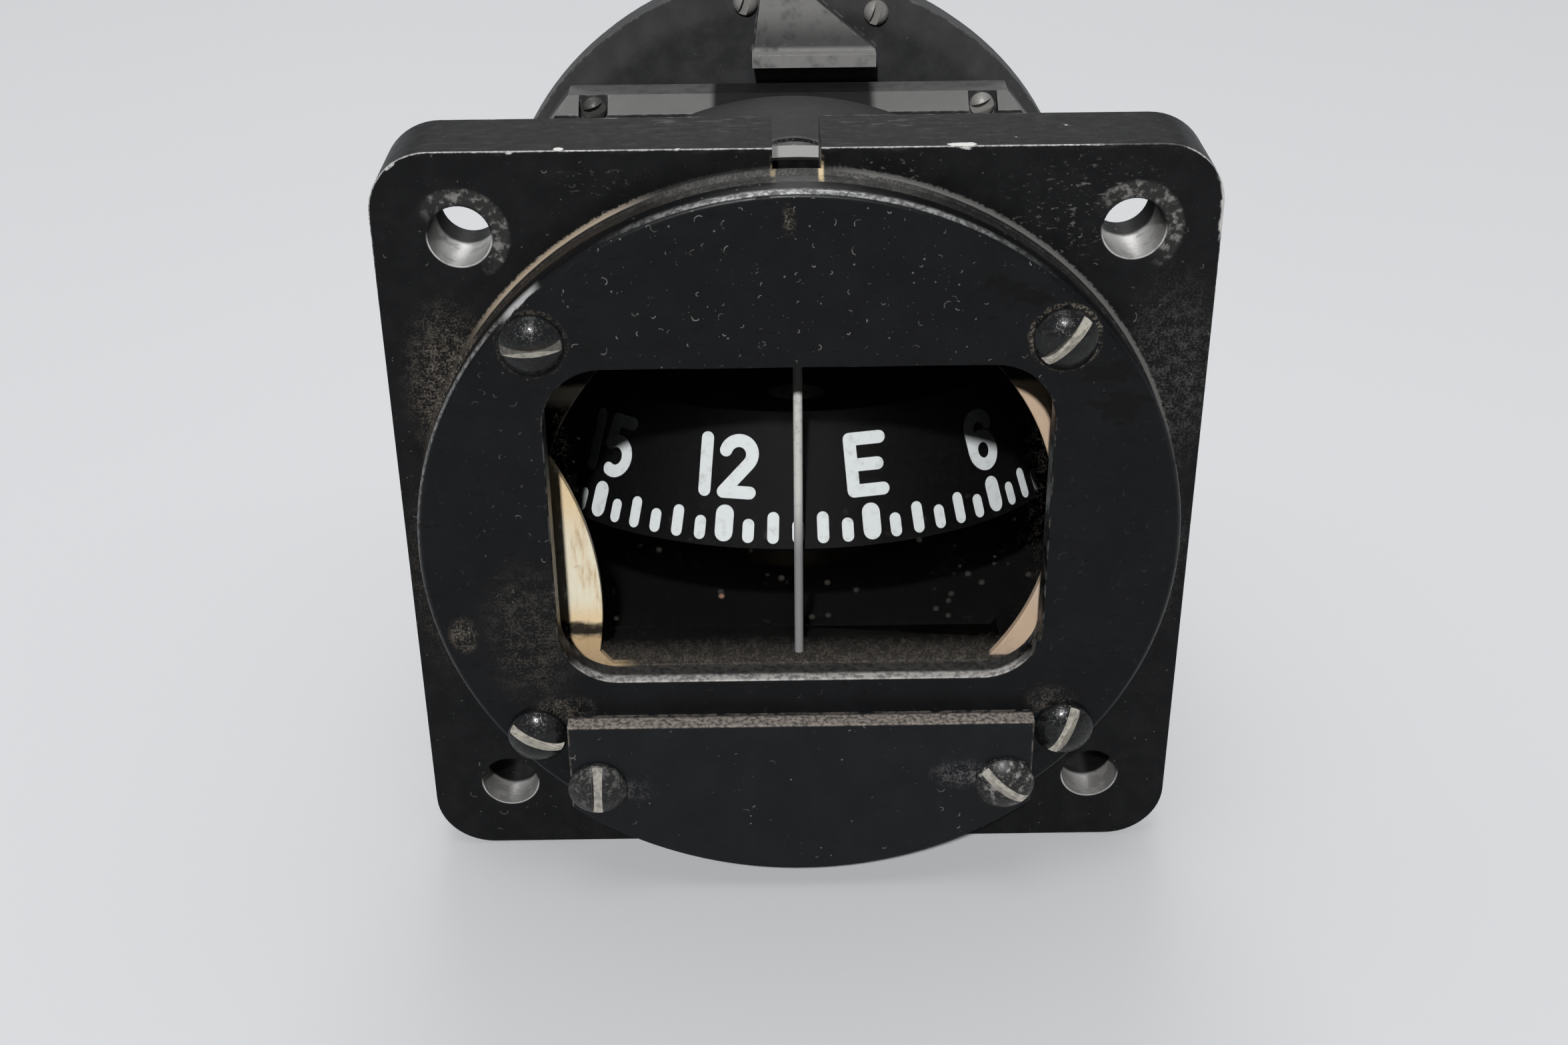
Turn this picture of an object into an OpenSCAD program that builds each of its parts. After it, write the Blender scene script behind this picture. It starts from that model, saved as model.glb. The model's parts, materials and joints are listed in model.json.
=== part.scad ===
// Panel-mounted aircraft compass, built as it comes apart on a bench.
// Origin: centre of the panel flange's front face, on the instrument axis.
// -Y faces the pilot, +X is to the pilot's right, +Z is up.

/* [Panel flange] */
// Width and height of the square flange
flange_w = 60; // [58:0.5:70]
// Thickness of the flange
flange_t = 7; // [5:0.25:9]
// Radius of the flange's corners
flange_corner_r = 4.5; // [2:0.25:6]
// Distance between neighbouring panel holes
panel_hole_pitch = 47.6; // [47:0.1:49]
// Radius of a panel hole
panel_hole_r = 2.25; // [1.8:0.05:2.6]
// Width of the slot in the flange's top edge
slot_w = 3.4; // [2:0.1:6]

/* [Front] */
// Radius of the collar in front of the flange
collar_r = 28.2; // [28:0.1:28.8]
// Height of the collar
collar_h = 2.1; // [1.8:0.1:3]
// Radius of the bezel
bezel_r = 28.4; // [28.2:0.1:29]
// Thickness of the bezel
bezel_t = 2.25; // [1.8:0.05:3]
// Chamfer on the bezel's front edge
bezel_chamfer = 0.35; // [0.1:0.05:0.6]
// Fillet where the collar meets the flange, inside the panel's round hole
collar_fillet = 0.35; // [0.3:0.05:0.4]
// Width of the window
window_w = 36.9; // [30:0.1:37.5]
// Height of the window
window_h = 26.5; // [22:0.1:26.8]
// Height of the window's middle above the axis
window_z = 2.05; // [1.9:0.05:2.4]
// Radius of the window's corners
window_corner_r = 4.5; // [3.5:0.25:6]
// Radius of the round edge of the glass
glass_r = 22.5; // [22.3:0.05:22.9]
// Thickness of the glass
glass_t = 2; // [1.5:0.1:2.4]
// Thickness of the gasket between bezel and glass
bezel_gasket_t = 0.6; // [0.4:0.1:0.8]
// Thickness of the seal behind the glass
seal_t = 1; // [0.6:0.1:1.4]
// Radius of the opening in the seal behind the glass
seal_in_r = 19.6; // [18:0.1:19.8]
// How far the squeezed left flank of that seal bulges into the view
seal_bulge = 4.2; // [0:0.1:5]

/* [Correction cover] */
// Width of the cover plate
cover_w = 36.2; // [34:0.1:38]
// Height of the cover plate's straight top edge
cover_top_z = -14.3; // [-15:0.1:-13.5]
// Thickness of the cover plate
cover_t = 1.7; // [1.2:0.1:2.2]

/* [Bowl] */
// Height of the bowl's axis
bowl_z = -1.5; // [-2:0.1:-1]
// Wall of the bowl
bowl_wall = 1.4; // [1.2:0.05:1.8]
// Gap between the card's rim and the bowl
card_side_gap = 1.2; // [1:0.05:1.5]
// Radius of the bowl's front ring
ring_r = 28.2; // [28:0.1:28.4]
// Thickness of the bowl's front ring
ring_t = 2.6; // [2:0.1:3.5]
// Thickness of the gasket between front casting and bowl
bowl_gasket_t = 0.6; // [0.4:0.1:1]
// Height of the floor that the card's post stands on
floor_z = -12.4; // [-12.6:0.1:-12]
// Thickness of that floor
floor_t = 1.5; // [1.2:0.1:1.7]
// Distance of the filler plug behind the flange's front face
filler_y = 15; // [14:0.25:20]

/* [Rear] */
// Thickness of the block that the rear plate is screwed to
block_t = 5; // [4:0.25:6]
// Half height of that block
block_half_h = 18.5; // [18:0.1:20]
// Radius of the rear plate
rear_r = 28.4; // [28.2:0.1:29.5]
// Thickness of the rear plate
rear_t = 3; // [2.5:0.1:4]
// Depth of the rear housing behind the rear plate
housing_h = 10.4; // [8:0.2:16]
// Radius of the rear housing's can
housing_r = 21.5; // [20:0.25:23]
// Wall of the rear housing
housing_wall = 1.4; // [1:0.1:2]
// Thickness of the diaphragm
diaphragm_t = 0.4; // [0.3:0.05:0.5]

/* [Card] */
// Radius of the card's lower edge
card_r = 23; // [22:0.1:23.4]
// Height of the card's lower edge
card_low_z = -3.6; // [-4:0.1:-3]
// Height of the card's top
card_top_z = 7; // [6.8:0.1:8]
// Lean of the card's band from upright, in degrees
card_lean = 20; // [10:1:24]
// Wall of the card's band
card_wall = 0.5; // [0.3:0.05:0.7]
// Heading that stands at the lubber line
card_heading = 105; // [0:5:355]
// Radius of the float
float_r = 8.5; // [7.5:0.1:10]
// Length of a card magnet
card_magnet_len = 24; // [18:0.5:28]
// Radius of a card magnet
card_magnet_r = 1.3; // [1:0.05:1.5]
// Height of the pivot point
pivot_z = 2.5; // [2.3:0.05:2.8]
// Travel of the sprung jewel stem
stem_travel = 0.8; // [0.4:0.1:1]

/* [Corrector] */
// Height of the corrector's shafts
shaft_z = -18; // [-18.2:0.05:-17.8]
// Radius of a corrector shaft
shaft_r = 0.8; // [0.6:0.05:0.9]
// Pitch radius of a corrector gear
gear_r = 2.7; // [2.6:0.02:2.75]
// Length of a corrector magnet
corrector_magnet_len = 4.8; // [3.6:0.1:5]
// Radius of a corrector magnet
corrector_magnet_r = 0.7; // [0.5:0.05:0.8]

/* [Hidden] */
$fn = 64;

// Fits and cuts
cut = 1;
fit = 0.05;
loose = 0.2;

// Planes along the instrument axis, front to rear
bezel_rear_y = -collar_h;
bezel_front_y = bezel_rear_y - bezel_t;
cover_front_y = bezel_front_y - cover_t;
glass_front_y = bezel_rear_y + bezel_gasket_t;
glass_rear_y = glass_front_y + glass_t;
seat_y = glass_rear_y + seal_t;
bowl_front_y = flange_t + bowl_gasket_t;
lubber_gap = 1.9;
card_y = seat_y + lubber_gap + card_r;
bowl_in_r = card_r + card_side_gap;
bowl_out_r = bowl_in_r + bowl_wall;
block_rear_y = card_y + bowl_out_r;
block_front_y = block_rear_y - block_t;
rear_gasket_t = 0.6;
rear_front_y = block_rear_y + rear_gasket_t;
rear_back_y = rear_front_y + rear_t;
housing_rear_y = rear_back_y + housing_h;

// Glass, its recess and the tunnel behind it share a flat lower edge
tunnel_r = 20;
glass_flat_z = floor_z - 2;
seal_flat_z = floor_z - 0.4;
bulge_r = 26;
bulge_z = -7;

// Lubber line
lubber_r = 0.35;
lubber_y = seat_y + lubber_r + fit;
lubber_seat = 0.8;

// Slot in the flange's top edge
slot_floor_z = tunnel_r + 5;

// Screws: head radius, head height, shank radius
bezel_head_r = 2.3;
bezel_head_h = 1.4;
bezel_shank_r = 1.25;
bezel_shank_end_y = 4;
bezel_screw_up = [18.77, 17.4];
low_screw_r = 26.08;
low_screw_x = cover_w / 2 + bezel_head_r + loose;
bezel_screw_low = [low_screw_x, -sqrt(low_screw_r * low_screw_r - low_screw_x * low_screw_x)];
cover_head_h = 1.3;
cover_screw_inset = 2.1;
cover_screw_r = 25.61;
cover_screw_x = cover_w / 2 - cover_screw_inset;
cover_screw_at = [cover_screw_x, -sqrt(cover_screw_r * cover_screw_r - cover_screw_x * cover_screw_x)];
small_head_r = 1.15;
small_head_h = 1.1;
small_shank_r = 0.8;
slot_cut_w = 0.8;
slot_cut_d = 0.6;

// Bowl screws stand on the front ring, clear of the flange's slot
bowl_screw_r = 26.95;
bowl_screw_angles = [15, 62, 118, 165, 228, 312];
bowl_screw_depth = 3;

// Rear plate and rear housing
block_r = 27.6;
block_chamfer_h = 1.3;
block_chamfer_t = 2;
rear_seat_y = block_front_y + block_chamfer_t;
port_r = 6;
rear_open_r = 14;
rear_screw_at = [18.1, 17.2];
rim_screw_r = 26.3;
rim_screw_lean = -5;
rim_screw_half_gap = 13.4;
housing_flange_r = 28;
housing_flange_t = 2.4;
diaphragm_r = 24.2;
vent_r = 1;

// Lug on the rear plate's front face, leaning to the right as seen from the front
lug_left = -3.3;
lug_right = 8.2;
lug_low_z = 20.7;
lug_step_z = 21.9;
lug_top_z = 28;
lug_t = 1.8;
lug_step_t = 3.2;

// Filler plug on the bowl's top
filler_boss_r = 3.6;
filler_boss_h = 6;
filler_boss_z = bowl_z + bowl_out_r + 0.3;
filler_washer_t = 0.3;
filler_head_r = 2.5;
filler_head_h = 0.8;
filler_shank_r = 1.6;

// Card, float and magnets
card_web_t = 0.4;
card_hub_r = 2.2;
card_top_r = card_r - (card_top_z - card_low_z) * tan(card_lean);
float_top_z = card_top_z - card_web_t;
float_low_z = -1.2;
float_wall = 0.5;
float_roof_t = 1.6;
tunnel_in_r = 3.2;
saddle_t = 1;
saddle_low_z = float_low_z - saddle_t;
card_magnet_z = saddle_low_z - 1.4;
card_magnet_offset = 7;
saddle_clip_r = card_magnet_r + 0.6;
saddle_clip_len = 6;
saddle_w = 10;
saddle_rim = 0.8;
saddle_gap = 0.4;

// Post: pedestal, sprung stem, jewel and pin
post_base_r = 6.2;
post_base_t = 1.5;
post_r = 3;
post_top_z = -5.5;
post_cap_t = 1;
post_screw_depth = floor_t - 0.6;
post_screw_inset = 1.5;
post_screw_count = 3;
post_screw_turn = 30;
post_bore_low_z = floor_z + 0.4;
piston_r = 1.6;
piston_h = 3.4;
stem_r = 1.3;
jewel_r = 0.95;
jewel_low_z = pivot_z - 0.8;
jewel_top_z = pivot_z + 0.6;
stem_top_z = jewel_top_z + 0.2;
pin_r = 0.7;
pin_half_angle = 20;
pin_head_r = 1.8;
pin_head_t = 0.9;
spring_wire_r = 0.2;
spring_r = piston_r - spring_wire_r - 0.25;
spring_turns = 3;
spring_rings = 8;
spring_sides = 6;

// Corrector: two geared pairs of magnets under the floor
bearing_fit = 0.05;
ns_x = -3 * gear_r;
ns_follower_x = ns_x + 2 * gear_r;
ew_x = 5.9;
ew_y = 17;
ew_follower_y = ew_y + 2 * gear_r;
gear_teeth = 12;
gear_tip = 0.4;
gear_root = 0.55;
gear_tooth_w = 0.55;
gear_t = 1.5;
ns_gear_y = 11.5;
ns_magnet_y = 17;
hub_r = 1.4;
hub_len = 3;
adjuster_head_r = 2;
adjuster_head_t = 2;
adjuster_front_y = bezel_rear_y - 1.2;
adjuster_bore_r = adjuster_head_r + 0.4;
pinion_teeth = 8;
pinion_pitch_r = 1.6;
pinion_tip_r = 1.95;
pinion_root_r = 1.2;
pinion_tooth_w = 0.42;
pinion_t = 1.1;
crown_disc_t = 0.6;
crown_x = ew_x + pinion_tip_r + 0.15;
crown_r = pinion_pitch_r * gear_teeth / pinion_teeth;
crown_tooth_w = 0.36;
crown_tooth_len = 1.1;
crown_tooth_h = 0.75;
ew_gear_x = crown_x + crown_disc_t;
ew_magnet_x = 3;
pinion_y = ew_y - crown_r - pinion_t / 2;
frame_t = 1.2;
frame_left_x = ns_x - gear_r - 0.3;
frame_base_z = shaft_z - gear_r - gear_tip - 0.4;
frame_base_t = 0.8;
frame_side_l_x = 1;
frame_side_t = 1;
frame_side_r_x = ew_gear_x + gear_t + 0.3;
frame_right_x = frame_side_r_x + frame_side_t;
frame_top_z = shaft_z + gear_r + gear_tip + 0.3;
frame_bearing_half = 2;
ns_rear_y = 21;
frame_side_y = ew_y - 3.4;
frame_rear_y = ew_follower_y + 3.2;
frame_ear_x = ns_x - 3.8;
frame_screw_l = [ns_x - 3.7, shaft_z];
frame_screw_r = [ew_x + 4.2, shaft_z];
frame_screw_depth = 3;
chamber_rear_y = frame_rear_y + 2.4;

// Cylinder along Y from y0 to y1
module ycyl(r, y0, y1, x = 0, z = 0) {
    translate([x, y0, z]) rotate([-90, 0, 0]) cylinder(r = r, h = y1 - y0);
}

// Cylinder along Z from z0 to z1
module zcyl(r, z0, z1, x = 0, y = 0) {
    translate([x, y, z0]) cylinder(r = r, h = z1 - z0);
}

// Cylinder along X from x0 to x1
module xcyl(r, x0, x1, y = 0, z = 0) {
    translate([x0, y, z]) rotate([0, 90, 0]) cylinder(r = r, h = x1 - x0);
}

// Outline in X and Z, carried from y0 to y1
module yplate(y0, y1) {
    translate([0, y1, 0]) rotate([90, 0, 0]) linear_extrude(y1 - y0) children();
}

// Outline in Y and Z, carried along X by w, centred
module xplate(w) {
    rotate([90, 0, 90]) linear_extrude(w, center = true) children();
}

// Rectangle with round corners, centred
module round_rect(w, h, r) {
    square([w - 2 * r, h], center = true);
    square([w, h - 2 * r], center = true);
    for (x = [-1, 1], z = [-1, 1])
        translate([x * (w / 2 - r), z * (h / 2 - r)]) circle(r);
}

// Circle with everything below a flat left out
module flat_disc(r, flat_z) {
    intersection() {
        circle(r);
        translate([-r - cut, flat_z]) square([2 * r + 2 * cut, 2 * r + cut]);
    }
}

// Part of a circle below a flat
module low_disc(r, flat_z) {
    intersection() {
        circle(r);
        translate([-r - cut, flat_z - 2 * r]) square([2 * r + 2 * cut, 2 * r]);
    }
}

// Screw with a domed, slotted head: seat at the origin, head towards +Z
module slotted_screw(head_r, head_h, shank_r, shank_len, slot_angle) {
    edge_h = 0.25 * head_h;
    slot_d = 0.65 * head_h;
    dome_h = head_h - edge_h;
    dome_r = (head_r * head_r + dome_h * dome_h) / (2 * dome_h);
    difference() {
        union() {
            cylinder(r = head_r, h = edge_h);
            intersection() {
                cylinder(r = head_r, h = head_h + cut);
                translate([0, 0, head_h - dome_r]) sphere(r = dome_r);
            }
        }
        translate([0, 0, -dome_r]) cube(2 * dome_r, center = true);
        rotate([0, 0, slot_angle])
            translate([-head_r - cut, -slot_cut_w / 2, head_h - slot_d])
                cube([2 * (head_r + cut), slot_cut_w, slot_d + cut]);
    }
    translate([0, 0, -shank_len]) cylinder(r = shank_r, h = shank_len + edge_h / 2);
}

// Screw seen from the front, seat at height y
module front_screw(at, y, head_r, head_h, shank_r, shank_len, slot_angle) {
    translate([at[0], y, at[1]]) rotate([90, 0, 0])
        slotted_screw(head_r, head_h, shank_r, shank_len, slot_angle);
}

// Screw seen from the rear, seat at height y
module rear_screw(at, y, head_r, head_h, shank_r, shank_len, slot_angle) {
    translate([at[0], y, at[1]]) rotate([-90, 0, 0])
        slotted_screw(head_r, head_h, shank_r, shank_len, slot_angle);
}

function around(r, a, z = 0) = [r * cos(a), r * sin(a) + z];
function bezel_screw_places() = [
    [-bezel_screw_up[0], bezel_screw_up[1], 4],
    [bezel_screw_up[0], bezel_screw_up[1], 48],
    [-bezel_screw_low[0], bezel_screw_low[1], -24],
    [bezel_screw_low[0], bezel_screw_low[1], 68]
];
function cover_screw_places() = [
    [-cover_screw_at[0], cover_screw_at[1], 88],
    [cover_screw_at[0], cover_screw_at[1], -40]
];
function rear_screw_places() = [for (x = [-1, 1], z = [-1, 1]) [x * rear_screw_at[0], z * rear_screw_at[1]]];
function rim_screw_places() = [
    for (q = [0:3], s = [-1, 1]) around(rim_screw_r, 90 * q + rim_screw_lean + s * rim_screw_half_gap)
];
function bowl_screw_places() = [for (a = bowl_screw_angles) around(bowl_screw_r, a, bowl_z)];
function adjuster_places() = [[ns_x, shaft_z], [ew_x, shaft_z]];

module window_outline(grow = 0) {
    translate([0, window_z])
        round_rect(window_w + 2 * grow, window_h + 2 * grow, window_corner_r + grow);
}

module front_casting() {
    color("#202326") difference() {
        union() {
            yplate(0, flange_t) round_rect(flange_w, flange_w, flange_corner_r);
            ycyl(collar_r, -collar_h, flange_t / 2);
            rotate([90, 0, 0]) cylinder(r1 = collar_r + collar_fillet, r2 = collar_r, h = collar_fillet);
        }
        yplate(seat_y, flange_t + cut) flat_disc(tunnel_r, floor_z);
        yplate(-collar_h - cut, seat_y) flat_disc(glass_r + loose, glass_flat_z - loose);
        translate([-slot_w / 2, 0, slot_floor_z]) cube([slot_w, flange_t + cut, flange_w]);
        for (x = [-1, 1], z = [-1, 1])
            ycyl(panel_hole_r, -cut, flange_t + cut, x * panel_hole_pitch / 2, z * panel_hole_pitch / 2);
        for (p = bezel_screw_places())
            ycyl(bezel_shank_r + fit, -collar_h - cut, bezel_shank_end_y + loose, p[0], p[1]);
        for (p = bowl_screw_places())
            ycyl(small_shank_r + fit, flange_t - bowl_screw_depth - loose, flange_t + cut, p[0], p[1]);
        for (p = [frame_screw_l, frame_screw_r])
            ycyl(small_shank_r + fit, flange_t - frame_screw_depth - loose, flange_t + cut, p[0], p[1]);
        for (p = adjuster_places())
            ycyl(adjuster_bore_r, -collar_h - cut, flange_t + cut, p[0], p[1]);
        zcyl(lubber_r + fit, floor_z - lubber_seat - fit, tunnel_r + lubber_seat + fit, 0, lubber_y);
    }
}

module bezel() {
    color("#17191c") difference() {
        union() {
            ycyl(bezel_r, bezel_front_y + bezel_chamfer, bezel_rear_y);
            translate([0, bezel_front_y + bezel_chamfer, 0]) rotate([90, 0, 0])
                cylinder(r1 = bezel_r, r2 = bezel_r - bezel_chamfer, h = bezel_chamfer);
        }
        yplate(bezel_front_y - cut, bezel_rear_y + cut) window_outline();
        for (p = bezel_screw_places())
            ycyl(bezel_shank_r + loose, bezel_front_y - cut, bezel_rear_y + cut, p[0], p[1]);
        for (p = cover_screw_places())
            ycyl(bezel_shank_r + fit, bezel_front_y - cut, bezel_rear_y + cut, p[0], p[1]);
        for (p = adjuster_places())
            ycyl(adjuster_bore_r, bezel_front_y - cut, bezel_rear_y + cut, p[0], p[1]);
    }
}

module bezel_screws() {
    color("#2c2e30") for (p = bezel_screw_places())
        front_screw(p, bezel_front_y, bezel_head_r, bezel_head_h, bezel_shank_r,
            bezel_shank_end_y - bezel_front_y, p[2]);
}

module corrector_cover() {
    color("#17191c") difference() {
        yplate(cover_front_y, bezel_front_y) intersection() {
            low_disc(bezel_r, cover_top_z);
            square([cover_w, 4 * bezel_r], center = true);
        }
        for (p = cover_screw_places())
            ycyl(bezel_shank_r + loose, cover_front_y - cut, bezel_front_y + cut, p[0], p[1]);
    }
}

module cover_screws() {
    color("#6f6d69") for (p = cover_screw_places())
        front_screw(p, cover_front_y, bezel_head_r, cover_head_h, bezel_shank_r,
            bezel_rear_y - cover_front_y - loose, p[2]);
}

module window_glass() {
    color("#cfe0e4", 0.3) yplate(glass_front_y, glass_rear_y) flat_disc(glass_r, glass_flat_z);
}

module bezel_gasket() {
    gasket_margin = 0.6;
    color("#2b2a28") yplate(bezel_rear_y, glass_front_y) difference() {
        flat_disc(glass_r, glass_flat_z);
        intersection() {
            window_outline(gasket_margin);
            circle(glass_r - gasket_margin);
        }
    }
}

module glass_seal() {
    color("#d8b98a") yplate(glass_rear_y, seat_y) difference() {
        flat_disc(glass_r, glass_flat_z);
        difference() {
            flat_disc(seal_in_r, seal_flat_z);
            translate([-seal_in_r + seal_bulge - bulge_r, bulge_z]) circle(bulge_r);
        }
    }
}

module lubber_line() {
    color("#d9dad6") zcyl(lubber_r, floor_z - lubber_seat, tunnel_r + lubber_seat, 0, lubber_y);
}

// Barrel from y0 to the card's axis with a round rear end, turned about the bowl's axis
module barrel(r, y0) {
    translate([0, 0, bowl_z]) rotate([-90, 0, 0]) rotate_extrude() {
        translate([0, y0]) square([r, card_y - y0]);
        translate([0, card_y]) intersection() {
            circle(r);
            square(r);
        }
    }
}

// Room for a small screw's head, open away from the middle of the block
module screw_notch(z) {
    r = small_head_r + loose;
    circle(r);
    mirror([0, z < 0 ? 1 : 0]) translate([-r, 0]) square([2 * r, block_half_h]);
}

module bowl() {
    color("#1b1d20") difference() {
        union() {
            ycyl(ring_r, bowl_front_y, bowl_front_y + ring_t, 0, bowl_z);
            barrel(bowl_out_r, bowl_front_y);
            intersection() {
                ycyl(block_r, block_front_y - cut, block_rear_y + cut);
                xplate(4 * block_r) polygon([
                    [block_front_y, block_chamfer_h - block_half_h], [rear_seat_y, -block_half_h],
                    [block_rear_y, -block_half_h], [block_rear_y, block_half_h],
                    [rear_seat_y, block_half_h], [block_front_y, block_half_h - block_chamfer_h]
                ]);
            }
            zcyl(filler_boss_r, filler_boss_z - filler_boss_h, filler_boss_z, 0, filler_y);
        }
        difference() {
            barrel(bowl_in_r, bowl_front_y - cut);
            translate([-2 * bowl_in_r, 0, floor_z - 2 * bowl_in_r])
                cube([4 * bowl_in_r, 4 * bowl_in_r, 2 * bowl_in_r]);
        }
        intersection() {
            ycyl(bowl_in_r, bowl_front_y - cut, chamber_rear_y, 0, bowl_z);
            translate([-2 * bowl_in_r, 0, floor_z - floor_t - 2 * bowl_in_r])
                cube([4 * bowl_in_r, 4 * bowl_in_r, 2 * bowl_in_r]);
        }
        ycyl(port_r, card_y, block_rear_y + cut);
        zcyl(filler_shank_r + fit, 0, filler_boss_z + cut, 0, filler_y);
        for (p = bowl_screw_places())
            ycyl(small_shank_r + loose, bowl_front_y - cut, bowl_front_y + ring_t + cut, p[0], p[1]);
        for (p = rear_screw_places()) {
            ycyl(small_shank_r + loose, block_front_y - cut, block_rear_y + cut, p[0], p[1]);
            yplate(block_front_y - cut, rear_seat_y) translate(p) screw_notch(p[1]);
        }
        for (p = rim_screw_places())
            ycyl(small_head_r + loose, block_front_y - cut, block_rear_y + cut, p[0], p[1]);
        for (p = post_screw_places())
            zcyl(small_shank_r + fit, floor_z - post_screw_depth - loose, floor_z + cut, p[0], p[1]);
    }
}

module bowl_gasket() {
    color("#2b2a28") yplate(flange_t, bowl_front_y) difference() {
        translate([0, bowl_z]) circle(ring_r);
        translate([0, bowl_z]) flat_disc(bowl_in_r, floor_z - bowl_z);
        translate([0, bowl_z]) low_disc(bowl_in_r, floor_z - floor_t - bowl_z);
        for (p = bowl_screw_places())
            translate(p) circle(small_shank_r + loose);
    }
}

module bowl_screws() {
    color("#2c2e30") for (p = bowl_screw_places())
        rear_screw(p, bowl_front_y + ring_t, small_head_r, small_head_h, small_shank_r,
            ring_t + bowl_gasket_t + bowl_screw_depth, 30);
}

module filler_plug() {
    head_z = filler_boss_z + filler_washer_t;
    color("#8d8b86") translate([0, filler_y, head_z])
        slotted_screw(filler_head_r, filler_head_h, filler_shank_r, filler_washer_t + bowl_wall + 0.4, 0);
}

module filler_washer() {
    color("#a5562f") difference() {
        zcyl(filler_head_r, filler_boss_z, filler_boss_z + filler_washer_t, 0, filler_y);
        zcyl(filler_shank_r + fit, filler_boss_z - cut, filler_boss_z + filler_washer_t + cut, 0, filler_y);
    }
}

module rear_gasket() {
    gasket_w = 3.5;
    color("#5b4a36") yplate(block_rear_y, rear_front_y) difference() {
        circle(rear_open_r + gasket_w);
        circle(rear_open_r);
    }
}

module rear_plate() {
    color("#26292c") difference() {
        union() {
            ycyl(rear_r, rear_front_y, rear_back_y);
            yplate(rear_front_y - lug_t, rear_front_y + cut)
                polygon([
                    [lug_left, lug_low_z], [lug_right, lug_low_z], [lug_right, lug_step_z],
                    [0.9, lug_top_z], [lug_left + 1, lug_top_z]
                ]);
            yplate(rear_front_y - lug_step_t, rear_front_y + cut)
                polygon([
                    [lug_left, lug_low_z], [lug_right, lug_low_z],
                    [lug_right, lug_step_z], [lug_left, lug_step_z]
                ]);
        }
        ycyl(rear_open_r, rear_front_y - cut, rear_back_y + cut);
        for (p = rear_screw_places())
            ycyl(small_shank_r + fit, rear_front_y - cut, rear_back_y - 0.6, p[0], p[1]);
        for (p = rim_screw_places())
            ycyl(small_shank_r + loose, rear_front_y - cut, rear_back_y + cut, p[0], p[1]);
    }
}

module rear_plate_screws() {
    color("#8d8b86") for (p = rear_screw_places())
        front_screw(p, rear_seat_y, small_head_r, small_head_h, small_shank_r,
            rear_back_y - rear_seat_y - 0.8, 20);
}

// Corrugated disc clamped at its rim
module diaphragm() {
    rim_w = 2;
    wave_r = housing_r - housing_wall - rim_w;
    wave_h = 0.7;
    waves = 4;
    steps = 24;
    function wave(r) = wave_h * (1 - cos(360 * waves * r / wave_r)) / 2;
    radii = [for (i = [0:steps]) wave_r * i / steps];
    upper = [for (r = radii) [r, wave(r) + diaphragm_t]];
    lower = [for (i = [0:steps]) [radii[steps - i], wave(radii[steps - i])]];
    rim = [[diaphragm_r, diaphragm_t], [diaphragm_r, 0]];
    color("#b9a36b") translate([0, rear_back_y, 0]) rotate([-90, 0, 0])
        rotate_extrude() polygon(concat(upper, rim, lower));
}

module rear_housing() {
    chamfer = 1.6;
    color("#212427") difference() {
        union() {
            ycyl(housing_flange_r, rear_back_y, rear_back_y + housing_flange_t);
            ycyl(housing_r, rear_back_y, housing_rear_y - chamfer);
            translate([0, housing_rear_y - chamfer, 0]) rotate([-90, 0, 0])
                cylinder(r1 = housing_r, r2 = housing_r - chamfer, h = chamfer);
        }
        ycyl(diaphragm_r + loose, rear_back_y - cut, rear_back_y + diaphragm_t);
        ycyl(housing_r - housing_wall, rear_back_y - cut, housing_rear_y - housing_wall - chamfer / 2);
        ycyl(vent_r, rear_back_y, housing_rear_y + cut);
        for (p = rim_screw_places())
            ycyl(small_shank_r + fit, rear_back_y - cut, rear_back_y + housing_flange_t - 0.4, p[0], p[1]);
    }
}

module rim_screws() {
    color("#8d8b86") for (p = rim_screw_places())
        front_screw(p, rear_front_y, small_head_r, small_head_h, small_shank_r,
            rear_t + housing_flange_t - 0.6, 70);
}

// Pieces of the card stand in a frame with the card's axis upright at the origin
module at_card() {
    translate([0, card_y, 0]) children();
}

// The card's north mark, turned to the heading at the lubber line
module at_north() {
    at_card() rotate([0, 0, card_heading - 90]) children();
}

module card() {
    web_holes = 6;
    web_hole_r = 2.4;
    slope = tan(card_lean);
    inner_low_r = card_r - card_wall / cos(card_lean);
    web_low_r = inner_low_r - (card_top_z - card_web_t - card_low_z) * slope;
    color("#141516") at_card() difference() {
        rotate_extrude() polygon([
            [card_r, card_low_z], [card_top_r, card_top_z], [card_hub_r, card_top_z],
            [card_hub_r, card_top_z - card_web_t], [web_low_r, card_top_z - card_web_t],
            [inner_low_r, card_low_z]
        ]);
        for (i = [0:web_holes - 1]) rotate([0, 0, 360 * (i + 0.5) / web_holes])
            zcyl(web_hole_r, card_top_z - card_web_t - cut, card_top_z + cut, (card_top_r + float_r) / 2, 0);
    }
}

module float_shell() {
    core_r = tunnel_in_r + float_wall;
    color("#b6b2a6") at_card() difference() {
        zcyl(float_r, float_low_z, float_top_z);
        difference() {
            zcyl(float_r - float_wall, float_low_z - cut, float_top_z - float_wall);
            zcyl(core_r, float_low_z - 2 * cut, float_top_z);
        }
        zcyl(tunnel_in_r, float_low_z - cut, float_top_z - float_roof_t);
        zcyl(pin_r + fit, 0, float_top_z + cut);
    }
}

module float_lid() {
    color("#b6b2a6") at_card() difference() {
        zcyl(float_r - float_wall - fit, float_low_z, float_low_z + float_wall);
        zcyl(tunnel_in_r + float_wall + fit, float_low_z - cut, float_low_z + float_wall + cut);
    }
}

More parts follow.
